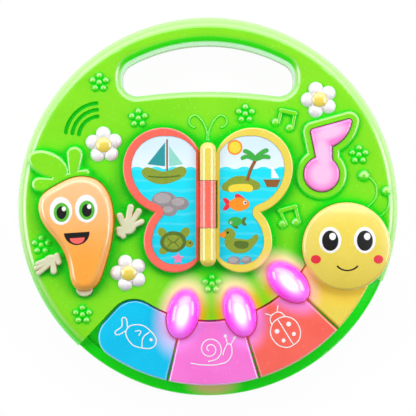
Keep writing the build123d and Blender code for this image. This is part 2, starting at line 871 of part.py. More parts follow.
# ------------------------------------------------------------ butterfly book
def knuckle(low, high, round_low=False, round_high=False):
    """Length of hinge barrel, with a round end where it is an outer one."""
    barrel = Pos(0, (low + high) / 2, hinge_height) * Rot(90, 0, 0) * Cylinder(barrel_radius, high - low)
    if round_low:
        barrel = fillet(barrel.edges().group_by(Axis.Y)[0], barrel_radius - 0.5)
    if round_high:
        barrel = fillet(barrel.edges().group_by(Axis.Y)[-1], barrel_radius - 0.5)
    return barrel


def knuckle_web(low, high, side, bottom, top):
    """Plate between a barrel and its wing."""
    reach = wing_inner + 1.0
    face = Pos(side * reach / 2, (low + high) / 2) * Rectangle(reach, high - low)
    return slab(face, bottom, top)


def pin_bore(radius):
    """Cylinder along the hinge, shorter than the barrel at both ends."""
    length = barrel_top - barrel_bottom - 2 * pin_end_cover
    middle = (barrel_top + barrel_bottom) / 2
    return Pos(0, middle, hinge_height) * Rot(90, 0, 0) * Cylinder(radius, length)


def right_wing_frame():
    """Fixed yellow wing with the two outer knuckles."""
    frame = soft_slab(wing_face(), land_height, wing_top, wing_edge_round)
    frame -= slab(window_face(), wing_top - card_depth, wing_top + 1)
    low = knuckle_bottom - knuckle_gap / 2
    high = knuckle_top + knuckle_gap / 2
    frame += knuckle(high, barrel_top, round_high=True)
    frame += knuckle(barrel_bottom, low, round_low=True)
    frame += knuckle_web(high, web_top, 1, land_height + 0.5, wing_top)
    frame += knuckle_web(web_bottom, low, 1, land_height + 0.5, wing_top)
    return frame - pin_bore(pin_radius)


def right_wing_card():
    """Picture card in the yellow wing."""
    bottom = wing_top - card_depth
    return slab(window_face(card_fit), bottom, bottom + card_thick)


def left_base_card():
    """Picture card on the land, uncovered when the page is turned."""
    bottom = land_height - card_recess
    return slab(mirror(window_face(card_fit), Plane.YZ), bottom, land_height)


def left_page_frame():
    """Coral page that swings on the middle knuckle."""
    page = soft_slab(mirror(wing_face(), Plane.YZ), page_bottom, page_top, wing_edge_round)
    window = mirror(window_face(), Plane.YZ)
    page -= slab(window, page_top - card_depth, page_top + 1)
    page -= slab(window, page_bottom - 1, page_bottom + card_depth)
    low = knuckle_bottom + knuckle_gap / 2
    high = knuckle_top - knuckle_gap / 2
    page += knuckle(low, high)
    page += knuckle_web(low, high, -1, page_bottom + 0.4, page_top)
    return page - pin_bore(pin_radius + pin_fit)


def left_page_card(bottom):
    """Picture card in one face of the turning page."""
    return slab(mirror(window_face(card_fit), Plane.YZ), bottom, bottom + card_thick)


# ------------------------------------------------------------ decorations
def daisy_petals(x, y, first):
    """Five white domed petals joined under the daisy's centre."""
    petal = dome_ball(petal_ring, 0, petal_radius, petal_rise)
    flower = [Pos(x, y) * Rot(0, 0, first + 72 * step) * petal for step in range(5)]
    seat = land_height + petal_seat
    flower = post(x, y, petal_base_radius, land_height, seat) + flower
    flower &= post(x, y, 3 * petal_ring, land_height, seat + 9)
    flower -= post(x, y, daisy_eye_radius + daisy_eye_gap, seat, seat + 9)
    return flower - post(x, y, daisy_peg_radius, 0, seat + 9)


def daisy_eye(x, y):
    """Yellow domed centre with a peg through the petals."""
    base = land_height + petal_seat
    ball = ball_radius(daisy_eye_radius + 1.0, daisy_eye_rise)
    eye = post(x, y, daisy_eye_radius, base, base + daisy_eye_rise + 1)
    eye = eye & Pos(x, y, base + daisy_eye_rise - ball) * Sphere(ball)
    return eye + post(x, y, daisy_peg_radius, land_height, base + 0.5)


def right_hand():
    """Open hand beside the book."""
    palm = Pos(*drawn(-54.6, -12.8)) * Ellipse(5.2, 5.8)
    spans = [
        ((-61.3, -15.3), (-58.3, -19.8), 2.1),
        ((-58.0, -11.6), (-60.7, -6.0), 2.3),
        ((-55.0, -10.0), (-53.1, 0.0), 2.2),
        ((-53.0, -11.6), (-47.6, -2.8), 2.2),
        ((-53.0, -13.4), (-45.7, -10.0), 2.0),
        ((-59.6, -17.2), (-55.6, -14.0), 3.4),
    ]
    return hand(palm, spans)


def left_hand():
    """Resting hand near the edge of the casing."""
    palm = Pos(*drawn(-108.6, -36.8)) * Rot(0, 0, 30) * Ellipse(4.8, 3.8)
    spans = [
        ((-103.9, -33.4), (-102.7, -37.9), 2.0),
        ((-110.7, -36.2), (-117.2, -38.9), 1.7),
        ((-110.7, -38.0), (-118.0, -42.0), 1.7),
        ((-109.5, -39.5), (-116.4, -45.2), 1.8),
        ((-106.6, -37.4), (-106.1, -44.2), 2.1),
        ((-107.6, -36.4), (-104.6, -35.2), 2.6),
    ]
    return hand(palm, spans)


def hand(palm, spans):
    """Hand from a palm and round fingers, notched over the arm."""
    faces = [palm] + [capsule(drawn(*start), drawn(*end), size) for start, end, size in spans]
    top = land_height + hand_thick
    slabs = [soft_slab(face, ceiling - 2, top, hand_edge_round) for face in faces]
    return (slabs[0] + slabs[1:]) - casing_blank() - arm_stubs(stub_gap)


# ------------------------------------------------------------ inside
def key_board():
    """Curved board under the keys, lamps and head."""
    face = band(board_inner, board_outer, key_edges[0] + 2, board_end)
    return slab(face, board_height, board_top)


def main_board():
    """Board under the note with the sound chip."""
    return slab(Pos(*drawn(81.0, 30.0)) * Rectangle(44, 60), board_height, board_top)


def sound_chip():
    """Chip on the main board."""
    return slab(Pos(*drawn(70.0, 49.0)) * Rectangle(12, 12), board_top, board_top + 2)


def carrot_board():
    """Small board under the carrot."""
    return slab(Pos(*drawn(-88.0, -8.0)) * Rectangle(26, 30), board_height, board_top)


def speaker_frame():
    """Basket of the speaker, under the slots."""
    x, y = speaker_centre
    rim = 3.0
    outer = Cone(magnet_radius + 1, speaker_radius, speaker_depth - rim)
    inner = Cone(magnet_radius - 0.5, speaker_radius - 1.5, speaker_depth - rim)
    basket = Pos(x, y, ceiling - rim - (speaker_depth - rim) / 2) * (outer - inner)
    ring = post(x, y, speaker_radius, ceiling - rim, ceiling)
    return basket + ring - post(x, y, speaker_radius - 1.5, ceiling - rim, ceiling + 1)


def speaker_cone():
    """Paper cone with its dust cap."""
    x, y = speaker_centre
    height = 5.0
    outer = Cone(4.0, speaker_radius - 1.5, height)
    inner = Cone(3.2, speaker_radius - 2.3, height)
    cone = Pos(x, y, ceiling - 1.5 - height / 2) * (outer - inner)
    return cone + post(x, y, 4.5, ceiling - 1.5 - height, ceiling - 0.5 - height)


def speaker_magnet():
    """Magnet behind the basket, with the pole that reaches the cone."""
    x, y = speaker_centre
    back = ceiling - speaker_depth
    magnet = post(x, y, magnet_radius + 1, back - magnet_thick, back)
    return magnet + post(x, y, 3.0, back - 1, ceiling - 1.5 - 5.0)


def battery(column):
    """Round cell with its raised pole."""
    x = column * battery_pitch
    low = bay_low + contact_thick + spring_length
    cell = Pos(x, low + battery_length / 2, battery_height) * Rot(90, 0, 0)
    pole = Pos(x, low + battery_length + battery_nub / 2, battery_height) * Rot(90, 0, 0)
    return cell * Cylinder(battery_radius, battery_length) + pole * Cylinder(2.75, battery_nub)


def battery_contacts():
    """Flat contact plate at the upper end of the bay."""
    face = Pos(0, bay_high - contact_thick / 2) * Rectangle(2 * bay_half_width - 2, contact_thick)
    return slab(face, foot_height + door_thick + 2, bay_roof - 1)


def battery_springs():
    """Contact plate with three conical springs at the lower end of the bay."""
    face = Pos(0, bay_low + contact_thick / 2) * Rectangle(2 * bay_half_width - 2, contact_thick)
    plate = slab(face, foot_height + door_thick + 2, bay_roof - 1)
    for column in (-1, 0, 1):
        y = bay_low + contact_thick + spring_length / 2
        spot = Pos(column * battery_pitch, y, battery_height)
        plate += spot * Rot(-90, 0, 0) * Cone(4.5, 2.5, spring_length)
    return plate


def switch_body():
    """Slide switch inside the shell."""
    x, y = switch_centre
    face = Pos(x + switch_travel / 2, y) * Rectangle(knob_length + switch_travel + 5, knob_width + 4)
    body = slab(face, inside_floor, inside_floor + switch_thick)
    return body - switch_opening(0, inside_floor + switch_thick / 2 + knob_gap, knob_gap)


def power_knob():
    """Sliding knob of the power switch."""
    x, y = switch_centre
    face = Pos(x, y) * Rectangle(knob_length, knob_width)
    knob = slab(face, foot_height - knob_reach, inside_floor + switch_thick / 2)
    return fillet(knob.edges().group_by(Axis.Z)[0], 0.5)


# ------------------------------------------------------------ the panel
def all_pieces():
    """Every piece of the panel by name."""
    pieces = {
        "top_casing": top_casing(),
        "back_shell": back_shell(),
        "battery_door": battery_door(),
        "door_screw": door_screw(),
        "case_screws": case_screws(),
        "foot_pads": foot_pads(),
        "pivot_rods": pivot_rods(),
        "neck_segment": neck_segment(),
        "head_cap": head_cap(),
        "note_button": note_button(),
        "carrot_button": carrot_button(),
        "root_tip": root_tip(),
        "right_wing_frame": right_wing_frame(),
        "right_wing_card": right_wing_card(),
        "left_base_card": left_base_card(),
        "left_page_frame": left_page_frame(),
        "left_page_front_card": left_page_card(page_top - card_depth),
        "left_page_back_card": left_page_card(page_bottom + card_depth - card_thick),
        "hinge_pin": pin_bore(pin_radius),
        "right_hand": right_hand(),
        "left_hand": left_hand(),
        "key_board": key_board(),
        "main_board": main_board(),
        "sound_chip": sound_chip(),
        "carrot_board": carrot_board(),
        "speaker_frame": speaker_frame(),
        "speaker_cone": speaker_cone(),
        "speaker_magnet": speaker_magnet(),
        "battery_contacts": battery_contacts(),
        "battery_springs": battery_springs(),
        "switch_body": switch_body(),
        "power_knob": power_knob(),
        "head_dome": contact_dome(*head_centre),
        "note_dome": contact_dome(*note_head_centre),
        "carrot_dome": contact_dome(*carrot_plunger),
    }
    for index, colour in enumerate(("blue", "pink", "coral")):
        pieces[colour + "_key"] = piano_key(index)
        pieces[colour + "_key_dome"] = contact_dome(*ring_point(plunger_ring, key_mids[index]))
    for angle, side in zip(key_edges[1:], ("left", "middle", "right")):
        pieces["lamp_lens_" + side] = lamp_lens(angle)
        pieces["lamp_led_" + side] = lamp_led(angle)
    daisies = {"upper_left": (-71.8, 42.9, 93), "upper_right": (76.8, 74.1, 180)}
    daisies["lower_left"] = (-54.6, -45.3, 180)
    for name, (x, y, first) in daisies.items():
        pieces["daisy_petals_" + name] = daisy_petals(*drawn(x, y), first)
        pieces["daisy_eye_" + name] = daisy_eye(*drawn(x, y))
    for column, name in ((-1, "left"), (0, "middle"), (1, "right")):
        pieces["battery_" + name] = battery(column)
    return pieces


if __name__ == "__main__":
    os.makedirs("parts", exist_ok=True)
    for name, piece in all_pieces().items():
        export_step(piece, "parts/" + name + ".step")
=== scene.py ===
import math

import bpy
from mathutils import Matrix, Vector


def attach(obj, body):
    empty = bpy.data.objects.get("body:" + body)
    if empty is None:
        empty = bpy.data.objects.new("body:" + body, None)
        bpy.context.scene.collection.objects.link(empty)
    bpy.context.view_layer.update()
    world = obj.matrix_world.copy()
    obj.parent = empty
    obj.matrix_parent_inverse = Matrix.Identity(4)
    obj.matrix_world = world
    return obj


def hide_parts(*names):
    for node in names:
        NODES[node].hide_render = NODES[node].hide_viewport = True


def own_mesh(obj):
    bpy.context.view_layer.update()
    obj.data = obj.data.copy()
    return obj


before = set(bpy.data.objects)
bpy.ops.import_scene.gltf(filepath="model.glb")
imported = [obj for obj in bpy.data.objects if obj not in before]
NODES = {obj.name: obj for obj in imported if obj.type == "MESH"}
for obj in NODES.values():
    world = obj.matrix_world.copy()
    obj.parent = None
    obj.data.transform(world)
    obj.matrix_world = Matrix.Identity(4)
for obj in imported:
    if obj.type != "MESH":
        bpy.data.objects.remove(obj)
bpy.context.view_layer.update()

scene = bpy.context.scene
scene.view_settings.view_transform = "Standard"

# The prints on the cards and keys are drawn in millimetres for a disc of 132.2 mm radius,
# as the part's source draws its plan, and brought to the real disc by this share.
MM = 0.001
PLAN = 130 / 132.2 * MM

# Scales of the patterns, per metre, each worked out from the real size that it gives.
PAPER_SCALE = 400.0  # tooth of the backdrop paper, 2.5 mm, coarse enough to show
DRIFT_SCALE = 45.0  # slow colour drift of a moulding, 22 mm
WAVE_SCALE = 260.0  # faint unevenness of a glossy face, 4 mm
RUBBER_SCALE = 1200.0  # grain of rubber and silicone, 0.8 mm
SPARK_SCALE = 1600.0  # spark-eroded grain, 0.6 mm
STEEL_LINES = (3000, 150, 3000)  # drawn lines, 0.3 mm across and 7 mm long
DOT_SCALE = 1250.0  # printed dots, 0.8 mm, drawn coarse so that they show
SWELL_SCALE = 26.0  # printed swell along the water line, 12 mm
TIDE_SCALE = 42.0  # printed bands in the water, 7.5 mm
FLOW_SCALE = 160.0  # drift of the tint in a lens, 6 mm
FIBRE_SCALE = 700.0  # paper fibres, 1.4 mm
WEAVE_SCALE = 390.0  # threads of the cloth, 0.8 mm apart


# ---------------------------------------------------------------- shader helpers
def linear(hex_colour):
    """An sRGB hex colour as the linear colour that a shader takes."""
    parts = [int(hex_colour[i : i + 2], 16) / 255 for i in (1, 3, 5)]
    return [c / 12.92 if c <= 0.04045 else ((c + 0.055) / 1.055) ** 2.4 for c in parts] + [1.0]


def add(tree, kind, inputs=(), **settings):
    """Adds a node with its settings, and fills or links its inputs."""
    made = tree.nodes.new(kind)
    for name, value in settings.items():
        setattr(made, name, value)
    for socket, value in dict(inputs).items():
        if isinstance(value, bpy.types.NodeSocket):
            tree.links.new(value, made.inputs[socket])
        else:
            made.inputs[socket].default_value = value
    return made


def new_material(name):
    """An empty material, its node tree and its Object coordinates."""
    material = bpy.data.materials.new(name)
    material.use_nodes = True
    material.node_tree.nodes.clear()
    place = add(material.node_tree, "ShaderNodeTexCoord").outputs["Object"]
    return material, material.node_tree, place


def blend(tree, share, low, high):
    """Colour between two colours, each a hex value or a socket."""
    low, high = [linear(c) if isinstance(c, str) else c for c in (low, high)]
    return add(tree, "ShaderNodeMix", {0: share, 6: low, 7: high}, data_type="RGBA").outputs[2]


def ramp(tree, value, start, end, low=0.0, high=1.0):
    """Value that runs smoothly from low to high between start and end."""
    sizes = {"Value": value, "From Min": start, "From Max": end, "To Min": low, "To Max": high}
    return add(tree, "ShaderNodeMapRange", sizes, interpolation_type="SMOOTHSTEP").outputs[0]


def oval_distance(tree, place, x, y, turn, half_length, half_width):
    """Distance in plan from the middle of an oval, 1 on its outline; sizes in mm."""
    sizes = {
        "Vector": place,
        "Location": (x * MM, y * MM, 0),
        "Rotation": (0, 0, math.radians(turn)),
        "Scale": (half_length * MM, half_width * MM, 1000),
    }
    local = add(tree, "ShaderNodeMapping", sizes, vector_type="TEXTURE").outputs[0]
    return add(tree, "ShaderNodeVectorMath", {0: local}, operation="LENGTH").outputs["Value"]


def nearest(tree, distances):
    """The smallest of several distances, with no crease where two are equal."""
    least = distances[0]
    for other in distances[1:]:
        pair = {0: least, 1: other, 2: 0.5}
        least = add(tree, "ShaderNodeMath", pair, operation="SMOOTH_MIN").outputs[0]
    return least


# ---------------------------------------------------------------- camera, floor and lights
CAMERA_HEIGHT = 0.82
CAMERA_PLACE = (0.00007, -0.00055)
LENS_MM = 100.5
AIM = (0, 0, 0.02)
TOP_BOX = (0, 0.825, 0.8775)
TOP_BOX_SIZE = (1.95, 0.66)
TOP_POWER = 14.0
SIDE_BOX_X, SIDE_BOX_Y, SIDE_BOX_Z = 0.87, 0.05, 0.56
SIDE_BOX_SIZE = (0.70, 0.34)
SIDE_POWER = 4.9
ROOM_LIGHT = 0.14
FLOOR_SIZE = 6
# Share of plain white in the floor as it is seen. The rest is lit, and keeps the shadow.
FLOOR_WHITE = 0.96

camera_data = bpy.data.cameras.new("camera")
camera_data.lens = LENS_MM
camera = bpy.data.objects.new("camera", camera_data)
camera.location = (*CAMERA_PLACE, CAMERA_HEIGHT)
scene.collection.objects.link(camera)
scene.camera = camera


def any_ray(tree, *kinds):
    """1 for rays of these kinds, and 0 for all others."""
    path = add(tree, "ShaderNodeLightPath")
    found = path.outputs[kinds[0]]
    for kind in kinds[1:]:
        pair = {0: found, 1: path.outputs[kind]}
        found = add(tree, "ShaderNodeMath", pair, operation="MAXIMUM").outputs[0]
    return found


def soft_box(name, place, size, power):
    """A rectangular studio soft box that points at the middle of the toy."""
    lamp = bpy.data.lights.new(name, "AREA")
    lamp.shape = "RECTANGLE"
    lamp.size, lamp.size_y = size
    lamp.energy = power
    holder = bpy.data.objects.new(name, lamp)
    holder.location = place
    aim = Vector(AIM) - Vector(place)
    holder.rotation_euler = aim.to_track_quat("-Z", "Y").to_euler()
    scene.collection.objects.link(holder)


soft_box("soft_box_top", TOP_BOX, TOP_BOX_SIZE, TOP_POWER)
for side, x in [("left", -SIDE_BOX_X), ("right", SIDE_BOX_X)]:
    soft_box("soft_box_" + side, (x, SIDE_BOX_Y, SIDE_BOX_Z), SIDE_BOX_SIZE, SIDE_POWER)

world = bpy.data.worlds.new("studio")
scene.world = world
world.use_nodes = True
tree = world.node_tree
tree.nodes.clear()
room = add(tree, "ShaderNodeBackground", {"Color": linear("#ffffff"), "Strength": ROOM_LIGHT})
backdrop = add(tree, "ShaderNodeBackground", {"Color": linear("#ffffff"), "Strength": 1.0})
seen = any_ray(tree, "Is Camera Ray", "Is Transmission Ray")
sky = add(tree, "ShaderNodeMixShader", {0: seen, 1: room.outputs[0], 2: backdrop.outputs[0]})
add(tree, "ShaderNodeOutputWorld", {"Surface": sky.outputs[0]})

bpy.ops.object.select_all(action="DESELECT")
bpy.ops.mesh.primitive_plane_add(size=FLOOR_SIZE, location=(0, 0, 0))
floor = bpy.context.object
floor.name = "floor"
# Matt white paper: it keeps a faint soft shadow, and shows as white round the toy.
sweep, tree, place = new_material("matt_white_paper")
grain = add(tree, "ShaderNodeTexNoise", {"Vector": place, "Scale": PAPER_SCALE, "Detail": 2.0})
matt = add(
    tree, "ShaderNodeBsdfDiffuse", {"Color": blend(tree, grain.outputs[0], "#efefef", "#f6f6f6")}
)
lit = add(tree, "ShaderNodeEmission", {"Color": linear("#ffffff"), "Strength": 1.0})
seen = any_ray(tree, "Is Camera Ray", "Is Glossy Ray", "Is Transmission Ray")
share = add(tree, "ShaderNodeMath", {0: seen, 1: FLOOR_WHITE}, operation="MULTIPLY").outputs[0]
shown = add(tree, "ShaderNodeMixShader", {0: share, 1: matt.outputs[0], 2: lit.outputs[0]})
add(tree, "ShaderNodeOutputMaterial", {"Surface": shown.outputs[0]})
floor.data.materials.append(sweep)

# ---------------------------------------------------------------- places of the parts, in mm
LAMP_OVALS = [(-16.93, -72.75), (21.65, -71.48), (54.62, -50.94)]
LAMP_HALF_LENGTH = 16.9
LAMP_HALF_WIDTH = 10.8
STREAK_HALF_LENGTH = 12.5
STREAK_HALF_WIDTH = 5.6
LAMP_TURNS = [math.degrees(math.atan2(y, x)) for x, y in LAMP_OVALS]
KEY_ANGLES = {"blue": -27.8, "pink": 1.875, "coral": 31.925}
KEY_TOP = 31.0
LAND_TOP = 32.0
LEFT_CARD_TOP = 36.6
LEFT_CARD_BACK = 33.1
RIGHT_CARD_TOP = 36.9
WATER_LINE = 26.5
HEAD_CENTRE = (93.6, -26.55)
HEAD_RADIUS = 30.0
NECK_TOP = 31.5
# Heights between the low rim and the land, and where along the panel the painted shade of the rim
# ends.
RIM_HEIGHTS = (23.5, 30.5)
RIM_ENDS = (-46, -30)
# Painted golden lamp light in the land: how far from the centre it grows, and its two ends across.
GOLD_REACH = (52, 73)
GOLD_LEFT = (-24, -10)
GOLD_RIGHT = (40, 55)
# Ovals, each with its x, y, turn, half length and half width: the painted light that the pink
# key throws on the rim, and the hollow of the note.
PAINTED_KEY_LIGHT = (3.2, -122.0, 0, 22.5, 11.0)
NOTE_OVALS = [(76.9, 22.4, 0, 12.0, 12.0), (77.7, 36.5, 99, 16.0, 6.8), (82.5, 50.6, 17, 16.0, 6.4)]


# ---------------------------------------------------------------- finishes
# Painted glow in the plastic, as a share of the studio light: in its corners and gaps,
# where its painted shade is deepest, and as painted lamp light beside the lamps.
PAINTED_GAP_GLOW = 0.34
PAINTED_POOL_GLOW = 0.30
PAINTED_HALO_GLOW = 0.16
# The share of that painted glow which is left on the floor of a narrow gap, where it turns to
# painted shade.
GAP_FLOOR = 0.12
# Rays that measure how open a place is.
OPEN_SKY_RAYS = 16
# Painted lamp light on the plastic that touches the lamps, and in the gaps round them.
PAINTED_LAMP_RING = "#ff6cc4"
PAINTED_LAMP_GAP = "#ff6078"


def lamp_distance(tree, place, half_length=LAMP_HALF_LENGTH, half_width=LAMP_HALF_WIDTH):
    """Distance from the nearest lamp, 1 on its outline or on another oval about its middle."""
    ovals = [
        oval_distance(tree, place, x, y, turn, half_length, half_width)
        for (x, y), turn in zip(LAMP_OVALS, LAMP_TURNS)
    ]
    return nearest(tree, ovals)


def moulded(
    name,
    colour,
    shade,
    deep,
    gloss=0.22,
    coat=0.7,
    tint=None,
    painted_halo=None,
    reach=9.0,
    painted_pool=None,
    dip=0.55,
    painted_light_patch=None,
):
    """Injection-moulded plastic: an even colour with a slow drift and a smooth gloss.

    Painted shade: its colour turns to the deep one in corners, wells and gaps, over a reach in
    mm, where less than the dip share of the sky is open, and a painted glow of that colour lights
    those gaps. A tint changes the colour before that, and one more mask adds places of painted
    shade and painted glow. Painted lamp light beside the lamps has its colour, how far it goes
    and how strong it is. A last patch of painted light has its colour and place.
    """
    material, tree, place = new_material(name)
    drift = add(tree, "ShaderNodeTexNoise", {"Vector": place, "Scale": DRIFT_SCALE, "Detail": 2.0})
    base = blend(tree, ramp(tree, drift.outputs[0], 0.3, 0.7), shade, colour)
    if tint:
        base = tint(tree, place, base)
    # Painted shade and painted glow, by how much of the sky is open round each place.
    open_sky = add(
        tree, "ShaderNodeAmbientOcclusion", {"Distance": reach * MM}, samples=OPEN_SKY_RAYS
    ).outputs["AO"]
    closed = ramp(tree, open_sky, dip, 1.0, 1.0, 0.0)
    glow = ramp(tree, open_sky, 0.0, 0.7, PAINTED_GAP_GLOW, 0.0)
    reached = ramp(tree, open_sky, 0.12, 0.34, GAP_FLOOR, 1.0)
    painted_glow_colour = linear(deep)
    # More painted shade and painted glow, where the extra mask given for them says.
    if painted_pool:
        depth = painted_pool(tree, place)
        most = {0: closed, 1: depth}
        closed = add(tree, "ShaderNodeMath", most, operation="MAXIMUM").outputs[0]
        lift = {0: depth, 1: PAINTED_POOL_GLOW, 2: glow}
        glow = add(tree, "ShaderNodeMath", lift, operation="MULTIPLY_ADD").outputs[0]
    glow = add(tree, "ShaderNodeMath", {0: glow, 1: reached}, operation="MULTIPLY").outputs[0]
    # Painted shade: the deep colour where the place is closed.
    base = blend(tree, closed, base, deep)
    # Painted lamp light on the plastic beside the lamps, pinker against them and redder in the gaps
    # round them.
    if painted_halo:
        tone, far, strength = painted_halo
        tone = tone if isinstance(tone, str) else tone(tree, place)
        away = lamp_distance(tree, place)
        near = ramp(tree, away, 1.0, far, strength, 0.0)
        tone = blend(tree, ramp(tree, away, 1.0, 1.2, 0.7, 0.0), tone, PAINTED_LAMP_RING)
        tone = blend(tree, ramp(tree, open_sky, 0.3, 0.62), PAINTED_LAMP_GAP, tone)
        base = blend(tree, near, base, tone)
        painted_glow_colour = blend(tree, near, deep, tone)
        lit = {0: near, 1: ramp(tree, open_sky, 0.35, 0.85)}
        near = add(tree, "ShaderNodeMath", lit, operation="MULTIPLY").outputs[0]
        lift = {0: near, 1: PAINTED_HALO_GLOW, 2: glow}
        glow = add(tree, "ShaderNodeMath", lift, operation="MULTIPLY_ADD").outputs[0]
    # One more patch of painted light.
    if painted_light_patch:
        tone, spread = painted_light_patch
        share = spread(tree, place)
        base = blend(tree, share, base, tone)
        painted_glow_colour = blend(tree, share, painted_glow_colour, tone)
    wave = add(tree, "ShaderNodeTexNoise", {"Vector": place, "Scale": WAVE_SCALE, "Detail": 2.0})
    bump = add(
        tree, "ShaderNodeBump", {"Height": wave.outputs[0], "Strength": 0.02, "Distance": 0.3 * MM}
    )
    # The emission here is painted glow and painted lamp light; the plastic is no lamp.
    surface = add(
        tree,
        "ShaderNodeBsdfPrincipled",
        {
            "Base Color": base,
            "Roughness": ramp(tree, wave.outputs[0], 0.3, 0.75, gloss, gloss + 0.06),
            "IOR": 1.53,
            "Coat Weight": coat,
            "Coat Roughness": 0.1,
            "Normal": bump.outputs[0],
            "Emission Color": painted_glow_colour,
            "Emission Strength": glow,
        },
    )
    add(tree, "ShaderNodeOutputMaterial", {"Surface": surface.outputs[0]})
    return material


def green_painted_shade(tree, place):
    """Painted shade: where the green is deepest, on the low rim and tray and on edges that look
    down the panel, away from the top light.
    """
    split = add(tree, "ShaderNodeSeparateXYZ", {0: place})
    low = ramp(tree, split.outputs[2], RIM_HEIGHTS[0] * MM, RIM_HEIGHTS[1] * MM, 1.0, 0.0)
    near = ramp(tree, split.outputs[1], RIM_ENDS[0] * MM, RIM_ENDS[1] * MM, 1.0, 0.0)
    rim = add(tree, "ShaderNodeMath", {0: low, 1: near}, operation="MULTIPLY").outputs[0]
    facing = add(tree, "ShaderNodeNewGeometry").outputs["Normal"]
    split = add(tree, "ShaderNodeSeparateXYZ", {0: facing})
    upward = {0: rim, 1: ramp(tree, split.outputs[2], 0.05, 0.4)}
    rim = add(tree, "ShaderNodeMath", upward, operation="MULTIPLY").outputs[0]
    away = ramp(tree, split.outputs[1], -0.68, -0.08, 0.92, 0.0)
    return add(tree, "ShaderNodeMath", {0: rim, 1: away}, operation="MAXIMUM").outputs[0]


def painted_lamp_light_tone(tree, place):
    """Painted lamp light in the land: cream above the lamps, golden between them and the keys."""
    from_centre = oval_distance(tree, place, 0, 0, 0, 1, 1)
    across = add(tree, "ShaderNodeSeparateXYZ", {0: place}).outputs[0]
    left = ramp(tree, across, GOLD_LEFT[0] * MM, GOLD_LEFT[1] * MM)
    right = ramp(tree, across, GOLD_RIGHT[0] * MM, GOLD_RIGHT[1] * MM, 1.0, 0.0)
    gold = ramp(tree, from_centre, *GOLD_REACH)
    for end in (left, right):
        gold = add(tree, "ShaderNodeMath", {0: gold, 1: end}, operation="MULTIPLY").outputs[0]
    return blend(tree, gold, "#ffe4b0", "#f2bc00")


def painted_light_below_pink_key(tree, place):
    """Painted light: where the rim is given the warm light that the pink key throws down."""
    return ramp(tree, oval_distance(tree, place, *PAINTED_KEY_LIGHT), 0.25, 1.0, 0.6, 0.0)


def painted_light_below_head(tree, place):
    """Painted light on the neck beside the head, which keeps it bright in the head's shadow."""
    away = oval_distance(tree, place, *HEAD_CENTRE, 0, 1, 1)
    height = add(tree, "ShaderNodeSeparateXYZ", {0: place}).outputs[2]
    low = ramp(tree, height, NECK_TOP * MM, (NECK_TOP + 1.5) * MM, 1.0, 0.0)
    near = {0: ramp(tree, away, HEAD_RADIUS, HEAD_RADIUS + 18.0, 0.9, 0.0), 1: low}
    return add(tree, "ShaderNodeMath", near, operation="MULTIPLY").outputs[0]


def painted_glow_on_steep_sides(tree, place):
    """Where a moulding stands steep: a painted glow there lifts its shaded flanks."""
    facing = add(tree, "ShaderNodeNewGeometry").outputs["Normal"]
    up = add(tree, "ShaderNodeSeparateXYZ", {0: facing}).outputs[2]
    return ramp(tree, up, 0.1, 0.8, 0.9, 0.0)


def note_heart(tree, place, base):
    """Translucent note: paler over its hollow middle, deeper towards its outline."""
    ovals = [oval_distance(tree, place, *oval) for oval in NOTE_OVALS]
    heart = ramp(tree, nearest(tree, ovals), 0.35, 1.0, 0.95, 0.0)
    return blend(tree, heart, base, "#ffccf2")


def painted_light_from_top(colour, start_y, end_y):
    """Painted light: a paler tone towards one end, as on a hollow moulding lit from that side."""

    def tint(tree, place, base):
        along = add(tree, "ShaderNodeSeparateXYZ", {0: place}).outputs[1]
        return blend(tree, ramp(tree, along, start_y * MM, end_y * MM), base, colour)

    return tint


def painted_edge_highlights(colour, strength=1.0, downhill=-2.0):
    """Painted highlights: a paler tone on rounded edges that face up and out, where light would
    catch them.

    Edges that look down the panel by more than the downhill share of their normal have none.
    """

    def tint(tree, place, base):
        facing = add(tree, "ShaderNodeNewGeometry").outputs["Normal"]
        split = add(tree, "ShaderNodeSeparateXYZ", {0: facing})
        along, up = split.outputs[1], split.outputs[2]
        turned = {0: ramp(tree, up, 0.2, 0.5), 1: ramp(tree, up, 0.9, 0.995, strength, 0.0)}
        rounded = add(tree, "ShaderNodeMath", turned, operation="MULTIPLY").outputs[0]
        lit = {0: rounded, 1: ramp(tree, along, downhill, downhill + 0.35)}
        pale = add(tree, "ShaderNodeMath", lit, operation="MULTIPLY").outputs[0]
        return blend(tree, pale, base, colour)

    return tint


def in_turn(*tints):
    """Several tints, one after the other."""

    def tint(tree, place, base):
        for one in tints:
            base = one(tree, place, base)
        return base

    return tint


def soft_rubber(name, colour, shade):
    """Moulded rubber or silicone: matt, with a fine even grain."""
    material, tree, place = new_material(name)
    grain = add(tree, "ShaderNodeTexNoise", {"Vector": place, "Scale": RUBBER_SCALE, "Detail": 3.0})
    bump = add(
        tree, "ShaderNodeBump", {"Height": grain.outputs[0], "Strength": 0.25, "Distance": 0.2 * MM}
    )
    surface = add(
        tree,
        "ShaderNodeBsdfPrincipled",
        {
            "Base Color": blend(tree, grain.outputs[0], shade, colour),
            "Roughness": 0.7,
            "IOR": 1.45,
            "Normal": bump.outputs[0],
        },
    )
    add(tree, "ShaderNodeOutputMaterial", {"Surface": surface.outputs[0]})
    return material


def spark_textured(name, colour, shade):
    """Moulded back shell: a fine spark-eroded grain that dulls its gloss."""
    material, tree, place = new_material(name)
    grain = add(
        tree, "ShaderNodeTexVoronoi", {"Vector": place, "Scale": SPARK_SCALE}, feature="SMOOTH_F1"
    )
    bump = add(
        tree, "ShaderNodeBump", {"Height": grain.outputs[0], "Strength": 0.15, "Distance": 0.1 * MM}
    )
    surface = add(
        tree,
        "ShaderNodeBsdfPrincipled",
        {
            "Base Color": blend(tree, grain.outputs[0], shade, colour),
            "Roughness": 0.5,
            "IOR": 1.53,
            "Normal": bump.outputs[0],
        },
    )
    add(tree, "ShaderNodeOutputMaterial", {"Surface": surface.outputs[0]})
    return material


